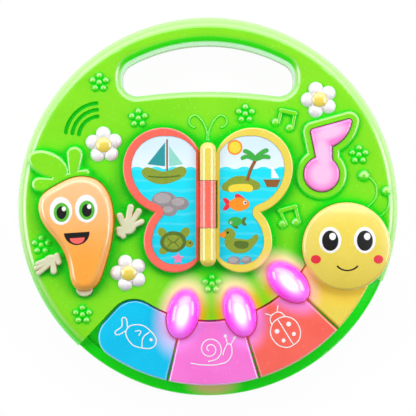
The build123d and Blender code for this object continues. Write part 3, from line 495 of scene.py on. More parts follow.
def drawn_steel(name, colour, shade, roughness):
    """Bright drawn or stamped steel: fine lines along its length break the reflection."""
    material, tree, place = new_material(name)
    lines = add(tree, "ShaderNodeMapping", {"Vector": place, "Scale": STEEL_LINES}).outputs[0]
    wear = add(tree, "ShaderNodeTexNoise", {"Vector": lines, "Scale": 1.0, "Detail": 4.0})
    surface = add(
        tree,
        "ShaderNodeBsdfPrincipled",
        {
            "Base Color": blend(tree, wear.outputs[0], shade, colour),
            "Metallic": 1.0,
            "Roughness": ramp(tree, wear.outputs[0], 0.3, 0.7, roughness, roughness + 0.15),
        },
    )
    add(tree, "ShaderNodeOutputMaterial", {"Surface": surface.outputs[0]})
    return material


def printed_ink(name, colour, shade):
    """Offset ink on coated card: a fine dot grain under a satin varnish."""
    material, tree, place = new_material(name)
    dots = add(tree, "ShaderNodeTexVoronoi", {"Vector": place, "Scale": DOT_SCALE})
    share = ramp(tree, dots.outputs[0], 0.2, 0.7)
    surface = add(
        tree,
        "ShaderNodeBsdfPrincipled",
        {
            "Base Color": blend(tree, share, colour, shade),
            "Roughness": 0.38,
            "IOR": 1.5,
        },
    )
    add(tree, "ShaderNodeOutputMaterial", {"Surface": surface.outputs[0]})
    return material


def picture_card():
    """Coated picture card: pale sky over cyan water, with soft printed wave bands."""
    material, tree, place = new_material("coated_picture_card")
    split = add(tree, "ShaderNodeSeparateXYZ", {0: place})
    swell = add(
        tree,
        "ShaderNodeTexWave",
        {"Vector": place, "Scale": SWELL_SCALE, "Distortion": 1.5, "Detail": 1.0},
        bands_direction="X",
    )
    lift = ramp(tree, swell.outputs[1], 0.0, 1.0, -0.7 * MM, 0.7 * MM)
    level = add(tree, "ShaderNodeMath", {0: split.outputs[1], 1: lift}, operation="ADD").outputs[0]
    depth = ramp(tree, level, -40 * MM, WATER_LINE * MM)
    water = blend(tree, depth, "#0ccfec", "#16e2f8")
    tide = add(
        tree,
        "ShaderNodeTexWave",
        {"Vector": place, "Scale": TIDE_SCALE, "Distortion": 3.0, "Detail": 1.0},
        bands_direction="Y",
    )
    bands = ramp(tree, tide.outputs[1], 0.75, 0.95, 0.0, 0.16)
    water = blend(tree, bands, water, "#8ff0fb")
    air = blend(tree, ramp(tree, level, WATER_LINE * MM, 45 * MM), "#e6f6ff", "#d6edfc")
    edge = ramp(tree, level, (WATER_LINE - 0.1) * MM, (WATER_LINE + 0.1) * MM)
    surface = add(
        tree,
        "ShaderNodeBsdfPrincipled",
        {
            "Base Color": blend(tree, edge, water, air),
            "Roughness": 0.35,
            "IOR": 1.5,
            "Coat Weight": 0.3,
            "Coat Roughness": 0.15,
        },
    )
    add(tree, "ShaderNodeOutputMaterial", {"Surface": surface.outputs[0]})
    return material


def lit_lens():
    """Clear magenta lens over a lit diode: a white-hot streak along its middle."""
    material, tree, place = new_material("lit_magenta_lens")
    from_middle = lamp_distance(tree, place)
    streak = lamp_distance(tree, place, STREAK_HALF_LENGTH, STREAK_HALF_WIDTH)
    flow = add(tree, "ShaderNodeTexNoise", {"Vector": place, "Scale": FLOW_SCALE, "Detail": 2.0})
    tone = blend(tree, ramp(tree, flow.outputs[0], 0.3, 0.7), "#ff28f1", "#ff44fb")
    warm = blend(tree, ramp(tree, streak, 0.6, 1.7, 1.0, 0.0), tone, "#ff8eff")
    base = blend(tree, ramp(tree, streak, 0.2, 1.0, 1.0, 0.0), warm, "#fff2ff")
    surface = add(
        tree,
        "ShaderNodeBsdfPrincipled",
        {
            "Base Color": base,
            "Roughness": 0.16,
            "IOR": 1.49,
            "Coat Weight": 1.0,
            "Coat Roughness": 0.06,
            "Emission Color": base,
            "Emission Strength": ramp(tree, from_middle, 0.2, 1.0, 0.6, 0.22),
        },
    )
    add(tree, "ShaderNodeOutputMaterial", {"Surface": surface.outputs[0]})
    return material


def grained_paper(name, colour, shade):
    """Pressed paper cone or wrapped cell sleeve: a short fibrous grain."""
    material, tree, place = new_material(name)
    fibre = add(tree, "ShaderNodeTexNoise", {"Vector": place, "Scale": FIBRE_SCALE, "Detail": 6.0})
    bump = add(
        tree, "ShaderNodeBump", {"Height": fibre.outputs[0], "Strength": 0.3, "Distance": 0.2 * MM}
    )
    surface = add(
        tree,
        "ShaderNodeBsdfPrincipled",
        {
            "Base Color": blend(tree, fibre.outputs[0], shade, colour),
            "Roughness": 0.6,
            "Normal": bump.outputs[0],
        },
    )
    add(tree, "ShaderNodeOutputMaterial", {"Surface": surface.outputs[0]})
    return material


def woven_cloth():
    """Acoustic cloth of bright green threads that cross, with a painted green glow."""
    material, tree, place = new_material("green_acoustic_cloth")
    threads = [
        add(
            tree, "ShaderNodeTexWave", {"Vector": place, "Scale": WEAVE_SCALE}, bands_direction=way
        ).outputs[1]
        for way in ("X", "Y")
    ]
    weave = add(tree, "ShaderNodeMath", {0: threads[0], 1: threads[1]}, operation="MULTIPLY")
    surface = add(
        tree,
        "ShaderNodeBsdfPrincipled",
        {
            "Base Color": blend(tree, weave.outputs[0], "#00a800", "#20cc20"),
            "Roughness": 0.8,
            # Painted glow: the cloth gives off green light though it is no lamp.
            "Emission Color": linear("#00b400"),
            "Emission Strength": PAINTED_GAP_GLOW,
        },
    )
    add(tree, "ShaderNodeOutputMaterial", {"Surface": surface.outputs[0]})
    return material


FINISHES = {
    # Glossy ABS, moulded in colour: a lively yellow green, with painted shade of pure green in
    # its corners, painted highlights on its round edges, painted cream and gold lamp light beside
    # the lamps and a painted warm patch of light on the rim below the pink key.
    "casing_green": moulded(
        "green_glossy_abs",
        "#87e41e",
        "#80e018",
        "#00dc04",
        tint=painted_edge_highlights("#d4f6b4", 0.6, -0.45),
        painted_halo=(painted_lamp_light_tone, 1.9, 0.95),
        reach=20.0,
        painted_pool=green_painted_shade,
        dip=0.71,
        painted_light_patch=("#f6a28e", painted_light_below_pink_key),
    ),
    # Impact polystyrene back, grained to hide scratches: a pale grey green.
    "shell_pale": spark_textured("pale_grained_polystyrene", "#e6ece0", "#e1e8db"),
    # The battery door is of the same moulding, a shade deeper.
    "door_pale": spark_textured("battery_door_polystyrene", "#dde5d4", "#d8e0cf"),
    # Zinc-plated screws, rods, pin, contacts and springs: a soft bright grey.
    "steel": drawn_steel("zinc_plated_steel", "#c9cbd0", "#a5a7ac", 0.25),
    # Soft grey rubber feet that grip the table.
    "rubber_pads": soft_rubber("grey_foot_rubber", "#4a4a4e", "#3a3a3d"),
    # Glossy ABS in warm yellow, as the head and the book's wing: painted creamy highlights on its
    # round edges, painted shade in its corners, painted lamp light beside the lamps and painted
    # light on the neck below the head.
    "yellow": moulded(
        "warm_yellow_abs",
        "#f3dc5e",
        "#efd754",
        "#e8c440",
        tint=painted_edge_highlights("#faf0b4", 0.45, -0.3),
        painted_halo=("#ffc6b4", 1.75, 0.8),
        reach=4.0,
        painted_pool=painted_light_below_head,
    ),
    # Tinted clear ABS: pale over its hollow middle, and deeper towards its outline.
    "note_pink": moulded(
        "pink_translucent_abs", "#ff86dc", "#ff7dd8", "#ff4cc4", 0.18, 1.0, note_heart, reach=4.0
    ),
    # Orange ABS with painted light that pales it to peach at the thick leafy end, painted
    # highlights on its round edges and a painted glow at its steep sides.
    "orange": moulded(
        "orange_glossy_abs",
        "#ffb04a",
        "#ffaa42",
        "#f88f2a",
        tint=in_turn(painted_light_from_top("#ffcb94", -38, 20), painted_edge_highlights("#ffe2b4", 0.5, -0.3)),
        reach=2.0,
        painted_pool=painted_glow_on_steep_sides,
    ),
    # Cream ABS of the hands and the root's tip, with painted shade, warm brown, where they meet the
    # green.
    "cream": moulded("cream_abs", "#dcdebe", "#d6d8b4", "#c98f4a", 0.3, reach=3.0),
    # Coral ABS of the turning page, with painted shade, redder, in its corners, and painted
    # highlights on its round edges.
    "coral": moulded(
        "coral_abs",
        "#ff7061",
        "#fd6a5a",
        "#e6321e",
        tint=painted_edge_highlights("#ffb0a2", 0.4, -0.3),
        reach=5.0,
    ),
    # Smooth coated card with its printed sky and water.
    "card": picture_card(),
    # Three key caps in bright ABS, with painted highlights on their round edges and painted lamp
    # light in the corners beside the lamps.
    "key_blue": moulded(
        "sky_blue_abs",
        "#00cbf7",
        "#00c4f2",
        "#0078d0",
        tint=painted_edge_highlights("#8fe4ff"),
        painted_halo=("#e8ccff", 2.1, 0.9),
    ),
    "key_pink": moulded(
        "pink_abs",
        "#ff80e0",
        "#fd79db",
        "#e034c0",
        tint=painted_edge_highlights("#ffc8f6"),
        painted_halo=("#ff9cff", 1.8, 0.8),
    ),
    "key_coral": moulded(
        "coral_key_abs",
        "#ff6f60",
        "#fc685a",
        "#d6202c",
        tint=painted_edge_highlights("#ffb4a8"),
        painted_halo=("#ff9af0", 1.9, 0.85),
    ),
    # Clear tinted lenses that glow evenly, brightest along their middle.
    "lens_magenta": lit_lens(),
    # Clear epoxy of the diodes, faintly pink from their light.
    "led_clear": moulded("clear_diode_epoxy", "#ffe2ff", "#ffd6ff", "#ff9cff", 0.1, 1.0),
    # White ABS petals, with painted shade, faintly grey, in the folds.
    "petal_white": moulded("white_petal_abs", "#f8f6f9", "#f3f1f5", "#e0e3dc", 0.3, reach=2.0),
    # Green solder mask, satin, over glass-fibre board.
    "board": moulded("green_solder_mask", "#1f7f3c", "#186b31", "#0c4a1e", 0.35, 0.3),
    # Black epoxy chip package, matt with a fine grain.
    "chip": soft_rubber("black_chip_epoxy", "#2a2a2c", "#1c1c1e"),
    # Milky silicone of the contact domes, matt.
    "silicone": soft_rubber("milky_silicone", "#d4d6d8", "#c6c8cc"),
    # Stamped speaker basket and its magnet, zinc grey.
    "speaker_metal": drawn_steel("stamped_basket_steel", "#8f9195", "#76787c", 0.35),
    # Black pressed paper of the speaker cone: dull and fibrous.
    "paper": grained_paper("black_cone_paper", "#37373a", "#262628"),
    # Red printed sleeves wrapped round the cells.
    "cell": grained_paper("red_cell_sleeve", "#c8403c", "#b03430"),
    # Open-weave green cloth behind the speaker slots, with a painted green glow.
    "cloth": woven_cloth(),
    # Black nylon of the slide switch, matt.
    "switch_black": soft_rubber("black_switch_nylon", "#303034", "#232326"),
}
WEARS = {
    "casing_green": ["top_casing"],
    "shell_pale": ["back_shell"],
    "door_pale": ["battery_door"],
    "steel": [
        "door_screw",
        "case_screws",
        "pivot_rods",
        "hinge_pin",
        "battery_contacts",
        "battery_springs",
    ],
    "rubber_pads": ["foot_pads"],
    "yellow": [
        "neck_segment",
        "head_cap",
        "right_wing_frame",
        "daisy_eye_upper_left",
        "daisy_eye_upper_right",
        "daisy_eye_lower_left",
    ],
    "note_pink": ["note_button"],
    "orange": ["carrot_button"],
    "cream": ["root_tip", "right_hand", "left_hand"],
    "coral": ["left_page_frame"],
    "card": ["right_wing_card", "left_base_card", "left_page_front_card", "left_page_back_card"],
    "key_blue": ["blue_key"],
    "key_pink": ["pink_key"],
    "key_coral": ["coral_key"],
    "lens_magenta": ["lamp_lens_left", "lamp_lens_middle", "lamp_lens_right"],
    "led_clear": ["lamp_led_left", "lamp_led_middle", "lamp_led_right"],
    "petal_white": [
        "daisy_petals_upper_left",
        "daisy_petals_upper_right",
        "daisy_petals_lower_left",
    ],
    "board": ["key_board", "main_board", "carrot_board"],
    "chip": ["sound_chip"],
    "silicone": [
        "head_dome",
        "note_dome",
        "carrot_dome",
        "blue_key_dome",
        "pink_key_dome",
        "coral_key_dome",
    ],
    "speaker_metal": ["speaker_frame", "speaker_magnet"],
    "paper": ["speaker_cone"],
    "cell": ["battery_left", "battery_middle", "battery_right"],
    "switch_black": ["switch_body", "power_knob"],
}
for slot, names in WEARS.items():
    for name in names:
        NODES[name].data.materials.clear()
        NODES[name].data.materials.append(FINISHES[slot])

# ---------------------------------------------------------------- printed pictures
# Satin offset inks, each with a dot grain one shade deeper.
INKS = {
    name: printed_ink("ink_" + name, colour, shade)
    for name, colour, shade in [
        ("white", "#fbfbfb", "#f2f2f4"),
        ("black", "#1c1a1c", "#100f10"),
        ("red", "#f2384a", "#e62f42"),
        ("iris", "#5fc23a", "#53b431"),
        ("tongue", "#ff6f6a", "#f7645f"),
        ("teal", "#2f9fa6", "#28939a"),
        ("mint", "#9adfd0", "#8dd6c6"),
        ("olive", "#93a63a", "#86992f"),
        ("moss", "#5f7a2c", "#557026"),
        ("stone", "#b4adb0", "#aaa3a6"),
        ("pebble", "#9a9397", "#908a8e"),
        ("rose", "#f58cc0", "#ee80b6"),
        ("amber", "#fb9a2b", "#f58f20"),
        ("bark", "#9a6433", "#8c592b"),
        ("lemon", "#f4e04a", "#eed83c"),
        ("leaf", "#46b649", "#3caa40"),
        ("navy", "#2f5fa8", "#28559b"),
    ]
}
INK_THICKNESS = 0.06
OVAL_SIDES = 40
CURVE_STEPS = 8


def pick(piece):
    """Makes a piece the only one that is selected, and the active one."""
    bpy.ops.object.select_all(action="DESELECT")
    piece.select_set(True)
    bpy.context.view_layer.objects.active = piece


def finish_print(piece, ink, level):
    """Applies a print's place, so that its object sits at the origin, and gives it its ink."""
    pick(piece)
    piece.location.z = level * MM
    bpy.ops.object.transform_apply(location=True, rotation=True, scale=True)
    piece.data.materials.clear()
    piece.data.materials.append(INKS[ink])
    return piece


def drawn(curve, points, x, y, turn, closed, handles, grow):
    """Draws a curve through its points, puts it in its place and makes it a mesh."""
    curve.resolution_u = 1 if handles == "VECTOR" else CURVE_STEPS
    spline = curve.splines.new("BEZIER")
    spline.bezier_points.add(len(points) - 1)
    spline.use_cyclic_u = closed
    for point, (px, py) in zip(spline.bezier_points, points):
        point.co = (px * PLAN * grow, py * PLAN * grow, 0)
        point.handle_left_type = point.handle_right_type = handles
    piece = bpy.data.objects.new("print", curve)
    scene.collection.objects.link(piece)
    piece.location = (x * PLAN, y * PLAN, 0)
    piece.rotation_euler.z = math.radians(turn)
    pick(piece)
    bpy.ops.object.convert(target="MESH")
    return bpy.context.object


def filled(outline, ink, level, x=0.0, y=0.0, turn=0.0, corners=False, grow=1.0):
    """A printed shape: its outline goes smoothly, or with corners, through a few points."""
    curve = bpy.data.curves.new("outline", "CURVE")
    curve.dimensions = "2D"
    curve.fill_mode = "BOTH"
    curve.extrude = INK_THICKNESS * MM / 2
    handles = "VECTOR" if corners else "AUTO"
    return finish_print(drawn(curve, outline, x, y, turn, True, handles, grow), ink, level)


def oval(x, y, half_length, half_width, ink, level, turn=0.0):
    """A printed oval on a flat face."""
    bpy.ops.object.select_all(action="DESELECT")
    bpy.ops.mesh.primitive_cylinder_add(
        vertices=OVAL_SIDES,
        radius=1.0,
        depth=INK_THICKNESS * MM,
        location=(x * PLAN, y * PLAN, 0),
    )
    piece = bpy.context.object
    piece.scale = (half_length * PLAN, half_width * PLAN, 1)
    piece.rotation_euler.z = math.radians(turn)
    return finish_print(piece, ink, level)


def line(points, width, ink, level, x=0.0, y=0.0, turn=0.0, closed=False, grow=1.0):
    """A printed line of one width that goes smoothly through its points."""
    curve = bpy.data.curves.new("line", "CURVE")
    curve.dimensions = "3D"
    curve.bevel_depth = width * MM / 2
    curve.bevel_resolution = 2
    curve.use_fill_caps = True
    piece = drawn(curve, points, x, y, turn, closed, "AUTO", grow)
    piece.scale.z = INK_THICKNESS / width
    return finish_print(piece, ink, level)


def picture(name, body, prints):
    """Joins the prints of one picture into one piece that moves with its card."""
    bpy.ops.object.select_all(action="DESELECT")
    for piece in prints:
        piece.select_set(True)
    bpy.context.view_layer.objects.active = prints[0]
    bpy.ops.object.join()
    whole = bpy.context.object
    whole.name = name
    whole.data.name = name
    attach(whole, body)
    return whole


def faced_down(piece):
    """Turns a finished picture over about the hinge, so that it faces the land."""
    pick(piece)
    piece.rotation_euler.y = math.pi
    bpy.ops.object.transform_apply(location=True, rotation=True, scale=True)


def fish(x, y, ink, fin, level, grow=1.0, turn=0.0):
    """A plain round fish with a fan tail."""
    place = {"x": x, "y": y, "turn": turn, "grow": grow}
    body = [(-7, 0), (-3, 4.2), (3, 4.4), (8, 0), (3, -4.4), (-3, -4.2)]
    tail = [(-6, 0), (-11, 4.2), (-9.6, 0), (-11, -4.2)]
    top = [(-1, 3.6), (-2.5, 7), (3, 5.5), (4.5, 3.2)]
    cos, sin = math.cos(math.radians(turn)), math.sin(math.radians(turn))
    eye_x = x + grow * (4.6 * cos - 1.2 * sin)
    eye_y = y + grow * (4.6 * sin + 1.2 * cos)
    return [
        filled(tail, fin, level, **place),
        filled(top, fin, level, **place),
        filled(body, ink, level + 0.03, **place),
        oval(eye_x, eye_y, 1.3 * grow, 1.3 * grow, "white", level + 0.06),
        oval(eye_x + 0.3, eye_y, 0.7 * grow, 0.7 * grow, "black", level + 0.09),
    ]


def pebbles(stones, level):
    """Smooth stones, each with a paler top."""
    made = []
    for x, y, size in stones:
        made.append(oval(x, y, size, size * 0.72, "pebble", level))
        made.append(
            oval(x - size * 0.15, y + size * 0.18, size * 0.68, size * 0.42, "stone", level + 0.02)
        )
        level += 0.04
    return made


def weed(x, y, level, ink="moss"):
    """Two waving strands of water weed."""
    strands = [
        [(0, 0), (1.2, 4), (-0.6, 8), (0.8, 12)],
        [(2.4, 0), (3.6, 3), (2, 6.5), (3.4, 9.5)],
    ]
    return [line(points, 1.3, ink, level, x=x, y=y) for points in strands]


# Levels of the prints, whose middle lies a little above their card. The picture on the
# page's back is drawn face up beyond the hinge, and then turned over about it.
PRINT_LIFT = 0.04
FRONT = LEFT_CARD_TOP + PRINT_LIFT
RIGHT = RIGHT_CARD_TOP + PRINT_LIFT
BASE = LAND_TOP + PRINT_LIFT
UNDER = -LEFT_CARD_BACK + PRINT_LIFT

hull = [(-45, 25.5), (-41, 18.5), (-21, 18.5), (-15, 26), (-30, 24.5)]
turtle_shell = [(-36, -24), (-32, -18), (-26, -16.5), (-20, -19)]
turtle_shell += [(-18, -24), (-21, -29), (-27, -31), (-33, -29)]
starfish = []
for i in range(5):
    for radius, step in [(7.2, 0), (3.4, 36)]:
        angle = math.radians(90 + 72 * i + step)
        starfish.append((radius * math.cos(angle), radius * math.sin(angle)))
left_page = [
    filled(hull, "olive", FRONT),
    line([(-41, 21.2), (-30, 20.6), (-19, 21.6)], 1.0, "moss", FRONT + 0.03),
    line([(-28, 25), (-28, 46.5)], 1.1, "bark", FRONT + 0.03),
    filled([(-29.4, 44.5), (-29.4, 28), (-41.5, 29.5)], "teal", FRONT, corners=True),
    filled([(-26.6, 42), (-26.6, 28), (-17, 29.5)], "mint", FRONT, corners=True),
    *pebbles([(-30, 4.5, 8.6), (-19.5, 2.5, 6.4), (-26.5, -2.5, 5.2)], FRONT),
    filled([(-33.5, -14.5), (-31, -21), (-28, -18)], "olive", FRONT),
    filled([(-13, -14.5), (-16, -21), (-19, -17.5)], "olive", FRONT),
    filled([(-33.5, -31), (-29.5, -27), (-27, -30)], "olive", FRONT),
    oval(-12.8, -25, 2.9, 2.6, "olive", FRONT),
    filled(turtle_shell, "moss", FRONT + 0.03, x=3.2),
    oval(-23.8, -24, 6.4, 5.0, "olive", FRONT + 0.06),
    line([(-27.8, -21), (-23.8, -24), (-19.8, -21)], 0.7, "moss", FRONT + 0.09),
    line([(-27.8, -27.5), (-23.8, -24), (-19.8, -27.5)], 0.7, "moss", FRONT + 0.09),
    oval(-12.2, -24.4, 0.6, 0.6, "black", FRONT + 0.06),
    filled(starfish, "rose", FRONT + 0.12, x=-20.5, y=-35.2, corners=True, grow=0.62),
]
picture("left_page_picture", "page", left_page)

island = [(9.5, 13), (13, 18), (21, 21.5), (30, 19.5), (36, 14), (30, 11.5), (20, 10.8), (12, 11)]
duck = [(12, -22), (14, -29), (24, -31.5), (31, -27), (34, -19), (28, -22), (20, -21.5)]
leaves = [
    [(0, 0), (5, 3.6), (10.5, 1.4), (5.6, 0.6)],
    [(0, 0), (-5, 3.6), (-10, 0.6), (-5.4, 0.8)],
    [(0, 0), (3.4, 6), (9, 7), (4.6, 3.2)],
    [(0, 0), (-3.4, 6), (-8.4, 6.4), (-4.2, 3.0)],
]
right_page = [
    oval(18.5, 41, 5.2, 5.2, "amber", RIGHT),
    oval(18.5, 41, 4.0, 4.0, "lemon", RIGHT + 0.03),
    filled(island, "olive", RIGHT),
    filled([(14, 12), (22, 16), (31, 12.5), (22, 11)], "lemon", RIGHT + 0.03),
    line([(27, 18), (29, 25), (32.5, 32)], 2.2, "bark", RIGHT + 0.06),
    *[
        filled(leaf, "leaf", RIGHT + 0.09 + 0.02 * i, x=32.5, y=32.5)
        for i, leaf in enumerate(leaves)
    ],
    filled([(38, 19), (40.5, 13.8), (47.5, 13.8), (50, 19)], "bark", RIGHT, corners=True),
    filled([(43.4, 20), (43.4, 29), (49, 20)], "white", RIGHT, corners=True),
    *fish(21, 2, "amber", "red", RIGHT, 0.95),
    *fish(19, -9.8, "leaf", "moss", RIGHT, 0.66, 180),
    filled(duck, "olive", RIGHT),
    filled([(18, -24.5), (22, -28.5), (28, -25.5), (23, -23.2)], "moss", RIGHT + 0.03),
    oval(14.5, -18.5, 4.4, 4.2, "olive", RIGHT + 0.03),
    filled([(8.2, -19.2), (11.4, -17), (11.4, -20.6)], "amber", RIGHT + 0.06),
    oval(13.6, -17.4, 0.8, 0.8, "black", RIGHT + 0.06),
    *pebbles([(18, -37, 4.6), (26.5, -36.2, 3.6)], RIGHT),
]
picture("right_page_picture", "casing", right_page)

base_page = [
    oval(-38, 38, 5.0, 5.0, "lemon", BASE),
    oval(-22, 40, 6.0, 2.2, "white", BASE),
    oval(-18.5, 41.6, 3.8, 2.0, "white", BASE + 0.03),
    *fish(-27, 10, "rose", "navy", BASE, 1.3),
    *fish(-24, -8, "teal", "mint", BASE, 0.9, 180),
    *weed(-30, -34, BASE),
    *weed(-19, -34, BASE, "leaf"),
    *pebbles([(-24, -34.5, 3.6)], BASE),
]
picture("left_base_picture", "casing", base_page)

under_page = [
    filled([(44, 25), (40, 18.5), (24, 18.5), (19, 25.5)], "red", UNDER, corners=True),
    filled([(29, 26.5), (29, 33), (37, 33), (37, 26.5)], "amber", UNDER, corners=True),
    filled([(31, 34), (31, 40), (34, 40), (34, 34)], "navy", UNDER, corners=True),
    *fish(27, 4, "lemon", "amber", UNDER, 1.1),
    *fish(22, -9, "red", "rose", UNDER, 0.7, 180),
    *weed(20, -34, UNDER),
    *pebbles([(31, -33, 5.0)], UNDER),
]
under = picture("under_page_picture", "page", under_page)
faced_down(under)

# ---------------------------------------------------------------- line pictures on the keys
# Level, line width and size of the line pictures.
ICON = KEY_TOP + 0.02
KEY_LINE = 0.75
KEY_GROW = 1.25


def key_mark(name, colour, centre, strokes, dots=()):
    """White line picture printed on a key cap, upright as seen along the key."""
    turn = KEY_ANGLES[colour]
    x, y = centre
    prints = [
        line(points, KEY_LINE, "white", ICON, x=x, y=y, turn=turn, closed=closed, grow=KEY_GROW)
        for points, closed in strokes
    ]
    cos, sin = math.cos(math.radians(turn)), math.sin(math.radians(turn))
    for dx, dy, size in dots:
        dx, dy, size = dx * KEY_GROW, dy * KEY_GROW, size * KEY_GROW
        dot_x, dot_y = x + dx * cos - dy * sin, y + dx * sin + dy * cos
        prints.append(oval(dot_x, dot_y, size, size, "white", ICON))
    picture(name, colour + "_key_body", prints)


fish_outline = [(-8, 0.5), (-4, 5.4), (3, 6), (10, 0.5), (3, -5.2), (-4, -4.6)]
key_mark(
    "blue_key_mark",
    "blue",
    (-47.5, -89.5),
    [
        (fish_outline, True),
        ([(-7.6, 1.2), (-12.5, 5.4), (-11.2, 0.5), (-12.5, -4.6), (-7.6, -0.4)], False),
        ([(4.0, 5.2), (2.2, 0.6), (4.0, -4.4)], False),
        ([(-3.4, 1.6), (-0.8, 3), (-0.4, 0.4)], False),
    ],
    [(6.6, 1.6, 0.85)],
)
spiral = []
for i in range(15):
    angle = math.radians(-100 + i * 50)
    radius = 7.0 - 0.42 * i
    spiral.append((-1.5 + radius * math.cos(angle), 2.0 + radius * math.sin(angle)))
snail_body = [(-12.5, -5.4), (-6, -6.6), (4, -6.4), (8.6, -4.4)]
snail_body += [(10.6, 1.6), (9.0, 4.6), (6.8, 2.2), (5.4, -1.6)]
key_mark(
    "pink_key_mark",
    "pink",
    (3.4, -100.5),
    [
        (spiral, False),
        (snail_body, False),
        ([(8.2, 4.6), (7.4, 8.4)], False),
        ([(10.0, 4.0), (12.0, 7.4)], False),
    ],
    [(7.2, 9.0, 0.9), (12.4, 7.9, 0.9)],
)
wing_cases = [(0, 8.2), (6.2, 5.4), (8.0, -1.0), (4.6, -7.4)]
wing_cases += [(0, -8.6), (-4.6, -7.4), (-8.0, -1.0), (-6.2, 5.4)]
key_mark(
    "coral_key_mark",
    "coral",
    (53.5, -86.0),
    [
        (wing_cases, True),
        ([(0, 7.8), (0, -8.2)], False),
        ([(-4.4, 7.2), (-3.2, 10.6), (0, 11.8), (3.2, 10.6), (4.4, 7.2)], False),
        ([(-1.8, 11.6), (-4.2, 14.4)], False),
        ([(1.8, 11.6), (4.2, 14.4)], False),
    ],
    [(-3.8, 2.6, 1.3), (3.8, 2.6, 1.3), (-3.4, -3.6, 1.1), (3.4, -3.6, 1.1)],
)

# ---------------------------------------------------------------- faces
# Each layer of ink lies this much above the one below it, in mm.
DOME_LIFT = 0.06
DOME_INK_THICKNESS = 0.05
ABOVE_ALL = 60
DOME_OVAL_SIDES = 48
RINGS = 5
ARC_STEPS = 28


def dome_oval(x, y, half_length, half_width, ink, on, lift, turn=0.0, half=False):
    """A printed oval, or its lower half, that lies on a domed button; sizes in CAD mm."""
    bpy.ops.object.select_all(action="DESELECT")
    bpy.ops.mesh.primitive_circle_add(
        vertices=DOME_OVAL_SIDES, radius=1.0, fill_type="NGON", location=(0, 0, 0)
    )
    piece = bpy.context.object
    bpy.ops.object.mode_set(mode="EDIT")
    for _ in range(RINGS):
        bpy.ops.mesh.inset(thickness=1 / (RINGS + 1))
    bpy.ops.mesh.poke()
    if half:
        bpy.ops.mesh.select_all(action="SELECT")
        bpy.ops.mesh.bisect(plane_co=(0, 0, 0), plane_no=(0, 1, 0), clear_outer=True)
    bpy.ops.object.mode_set(mode="OBJECT")
    piece.scale = (half_length * MM, half_width * MM, 1)
    piece.rotation_euler.z = math.radians(turn)
    piece.location = (x * MM, y * MM, ABOVE_ALL * MM)
    return laid_on(piece, on, lift, ink)


def dome_arc(x, y, radius, width, start, end, ink, on, lift, squash=1.0):
    """A printed curved line on a domed button, part of an oval; sizes in CAD mm."""
    bpy.ops.object.select_all(action="DESELECT")
    bpy.ops.mesh.primitive_plane_add(size=1.0, location=(0, 0, 0))
    piece = bpy.context.object
    bpy.ops.object.mode_set(mode="EDIT")
    bpy.ops.mesh.select_mode(type="EDGE")
    bpy.ops.mesh.delete(type="ONLY_FACE")
    bpy.ops.object.mode_set(mode="OBJECT")
    for vertex in piece.data.vertices:
        vertex.co = (radius + (width / 2 if vertex.co.x > 0 else -width / 2), 0, 0)
    bpy.ops.object.mode_set(mode="EDIT")
    bpy.ops.mesh.select_all(action="SELECT")
    bpy.ops.mesh.remove_doubles(threshold=0.001)
    bpy.ops.mesh.select_all(action="SELECT")
    sweep = -math.radians(end - start)
    bpy.ops.mesh.spin(steps=ARC_STEPS, angle=sweep, center=(0, 0, 0), axis=(0, 0, 1))
    bpy.ops.mesh.select_all(action="SELECT")
    bpy.ops.mesh.remove_doubles(threshold=0.001)
    bpy.ops.mesh.normals_make_consistent(inside=False)
    bpy.ops.object.mode_set(mode="OBJECT")
    piece.rotation_euler.z = math.radians(start)
    bpy.ops.object.transform_apply(location=False, rotation=True, scale=False)
    piece.scale = (MM, MM * squash, 1)
    piece.location = (x * MM, y * MM, ABOVE_ALL * MM)
    return laid_on(piece, on, lift, ink)


def laid_on(piece, on, lift, ink):
    """Lays a flat print down on a dome, and gives it the thickness of its ink."""
    pick(piece)
    bpy.ops.object.transform_apply(location=True, rotation=True, scale=True)
    if piece.data.polygons[0].normal.z < 0:
        bpy.ops.object.mode_set(mode="EDIT")
        bpy.ops.mesh.select_all(action="SELECT")
        bpy.ops.mesh.flip_normals()
        bpy.ops.object.mode_set(mode="OBJECT")
    wrap = piece.modifiers.new("lay", "SHRINKWRAP")
    wrap.wrap_method = "PROJECT"
    wrap.wrap_mode = "ABOVE_SURFACE"
    wrap.use_project_z = True
    wrap.use_negative_direction = True
    wrap.use_positive_direction = False
    wrap.target = NODES[on]
    wrap.offset = lift * MM
    bpy.ops.object.modifier_apply(modifier=wrap.name)
    film = piece.modifiers.new("ink", "SOLIDIFY")
    film.thickness = DOME_INK_THICKNESS * MM
    film.offset = -1
    bpy.ops.object.modifier_apply(modifier=film.name)
    bpy.ops.object.shade_smooth_by_angle(angle=math.radians(40))
    piece.data.materials.clear()
    piece.data.materials.append(INKS[ink])
    return piece


hx, hy = HEAD_CENTRE
head_face = []
for side in (-1, 1):
    ex, ey = hx + side * 11.6, hy + 4.5
    head_face += [
        dome_oval(ex, ey, 7.4, 8.8, "white", "head_cap", DOME_LIFT),
        dome_oval(ex, ey - 0.4, 5.4, 6.8, "black", "head_cap", 2 * DOME_LIFT),
        dome_oval(ex + 1.6, ey + 2.4, 2.2, 2.4, "white", "head_cap", 3 * DOME_LIFT),
        dome_oval(hx + side * 21.0, hy - 8.5, 3.3, 2.9, "red", "head_cap", DOME_LIFT),
    ]
head_face.append(dome_arc(hx, hy - 9.5, 8.0, 1.2, 210, 330, "black", "head_cap", DOME_LIFT, 0.8))
picture("head_face", "head_button_body", head_face)

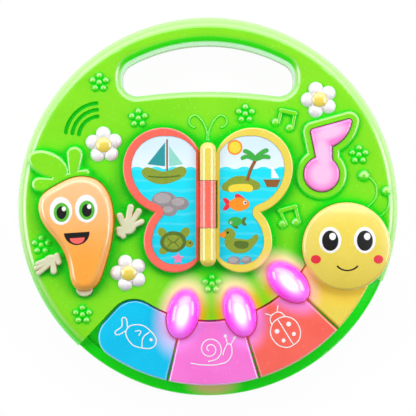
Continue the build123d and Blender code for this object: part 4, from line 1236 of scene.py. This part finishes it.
root_face = []
for ex, ey in [(-98.6, -2.5), (-81.6, -1.0)]:
    root_face += [
        dome_oval(ex, ey, 7.6, 9.4, "white", "carrot_button", DOME_LIFT),
        dome_oval(ex + 0.4, ey - 1.0, 5.2, 6.4, "iris", "carrot_button", 2 * DOME_LIFT),
        dome_oval(ex + 0.4, ey - 1.2, 3.3, 4.3, "black", "carrot_button", 3 * DOME_LIFT),
        dome_oval(ex + 2.0, ey + 1.4, 1.4, 1.6, "white", "carrot_button", 4 * DOME_LIFT),
    ]
root_face += [
    dome_oval(-88.0, -17.0, 8.6, 8.4, "black", "carrot_button", DOME_LIFT, 4, half=True),
    dome_oval(-87.7, -20.6, 5.0, 4.0, "tongue", "carrot_button", 2 * DOME_LIFT, 4, half=True),
]
picture("root_face", "carrot_button_body", root_face)

# ---------------------------------------------------------------- cloth behind the slots
SPEAKER_X, SPEAKER_Y = -83.6, 57.5
CLOTH_RADIUS = 17.6
CLOTH_HEIGHT = 29.62
CLOTH_THICKNESS = 0.2
CLOTH_SIDES = 64
bpy.ops.object.select_all(action="DESELECT")
bpy.ops.mesh.primitive_cylinder_add(
    vertices=CLOTH_SIDES,
    radius=CLOTH_RADIUS * MM,
    depth=CLOTH_THICKNESS * MM,
    end_fill_type="TRIFAN",
    location=(SPEAKER_X * MM, SPEAKER_Y * MM, CLOTH_HEIGHT * MM),
)
cloth = bpy.context.object
cloth.name = "speaker_cloth"
bpy.ops.object.transform_apply(location=True, rotation=True, scale=True)
cloth.data.materials.append(FINISHES["cloth"])
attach(cloth, "casing")

# ---------------------------------------------------------------- domes, merged and shaded smooth
# How much of its height a pressed dome keeps.
BUTTON_DOME_KEEP = 0.64
KEY_DOME_KEEP = 0.68
DOME_JOINTS = [
    ("head_dome", "head_button_press", BUTTON_DOME_KEEP),
    ("note_dome", "note_button_press", BUTTON_DOME_KEEP),
    ("carrot_dome", "carrot_button_press", BUTTON_DOME_KEEP),
    ("blue_key_dome", "blue_key_press", KEY_DOME_KEEP),
    ("pink_key_dome", "pink_key_press", KEY_DOME_KEEP),
    ("coral_key_dome", "coral_key_press", KEY_DOME_KEEP),
]
for node, joint, keep in DOME_JOINTS:
    dome = bpy.data.objects.new("soft_" + node, NODES[node].data.copy())
    scene.collection.objects.link(dome)
    pick(dome)
    bpy.ops.object.mode_set(mode="EDIT")
    bpy.ops.mesh.select_all(action="SELECT")
    bpy.ops.mesh.remove_doubles(threshold=0.001 * MM)
    bpy.ops.object.mode_set(mode="OBJECT")
    bpy.ops.object.shade_smooth_by_angle(angle=math.radians(30))
    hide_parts(node)
    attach(dome, "casing")
    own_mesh(dome)
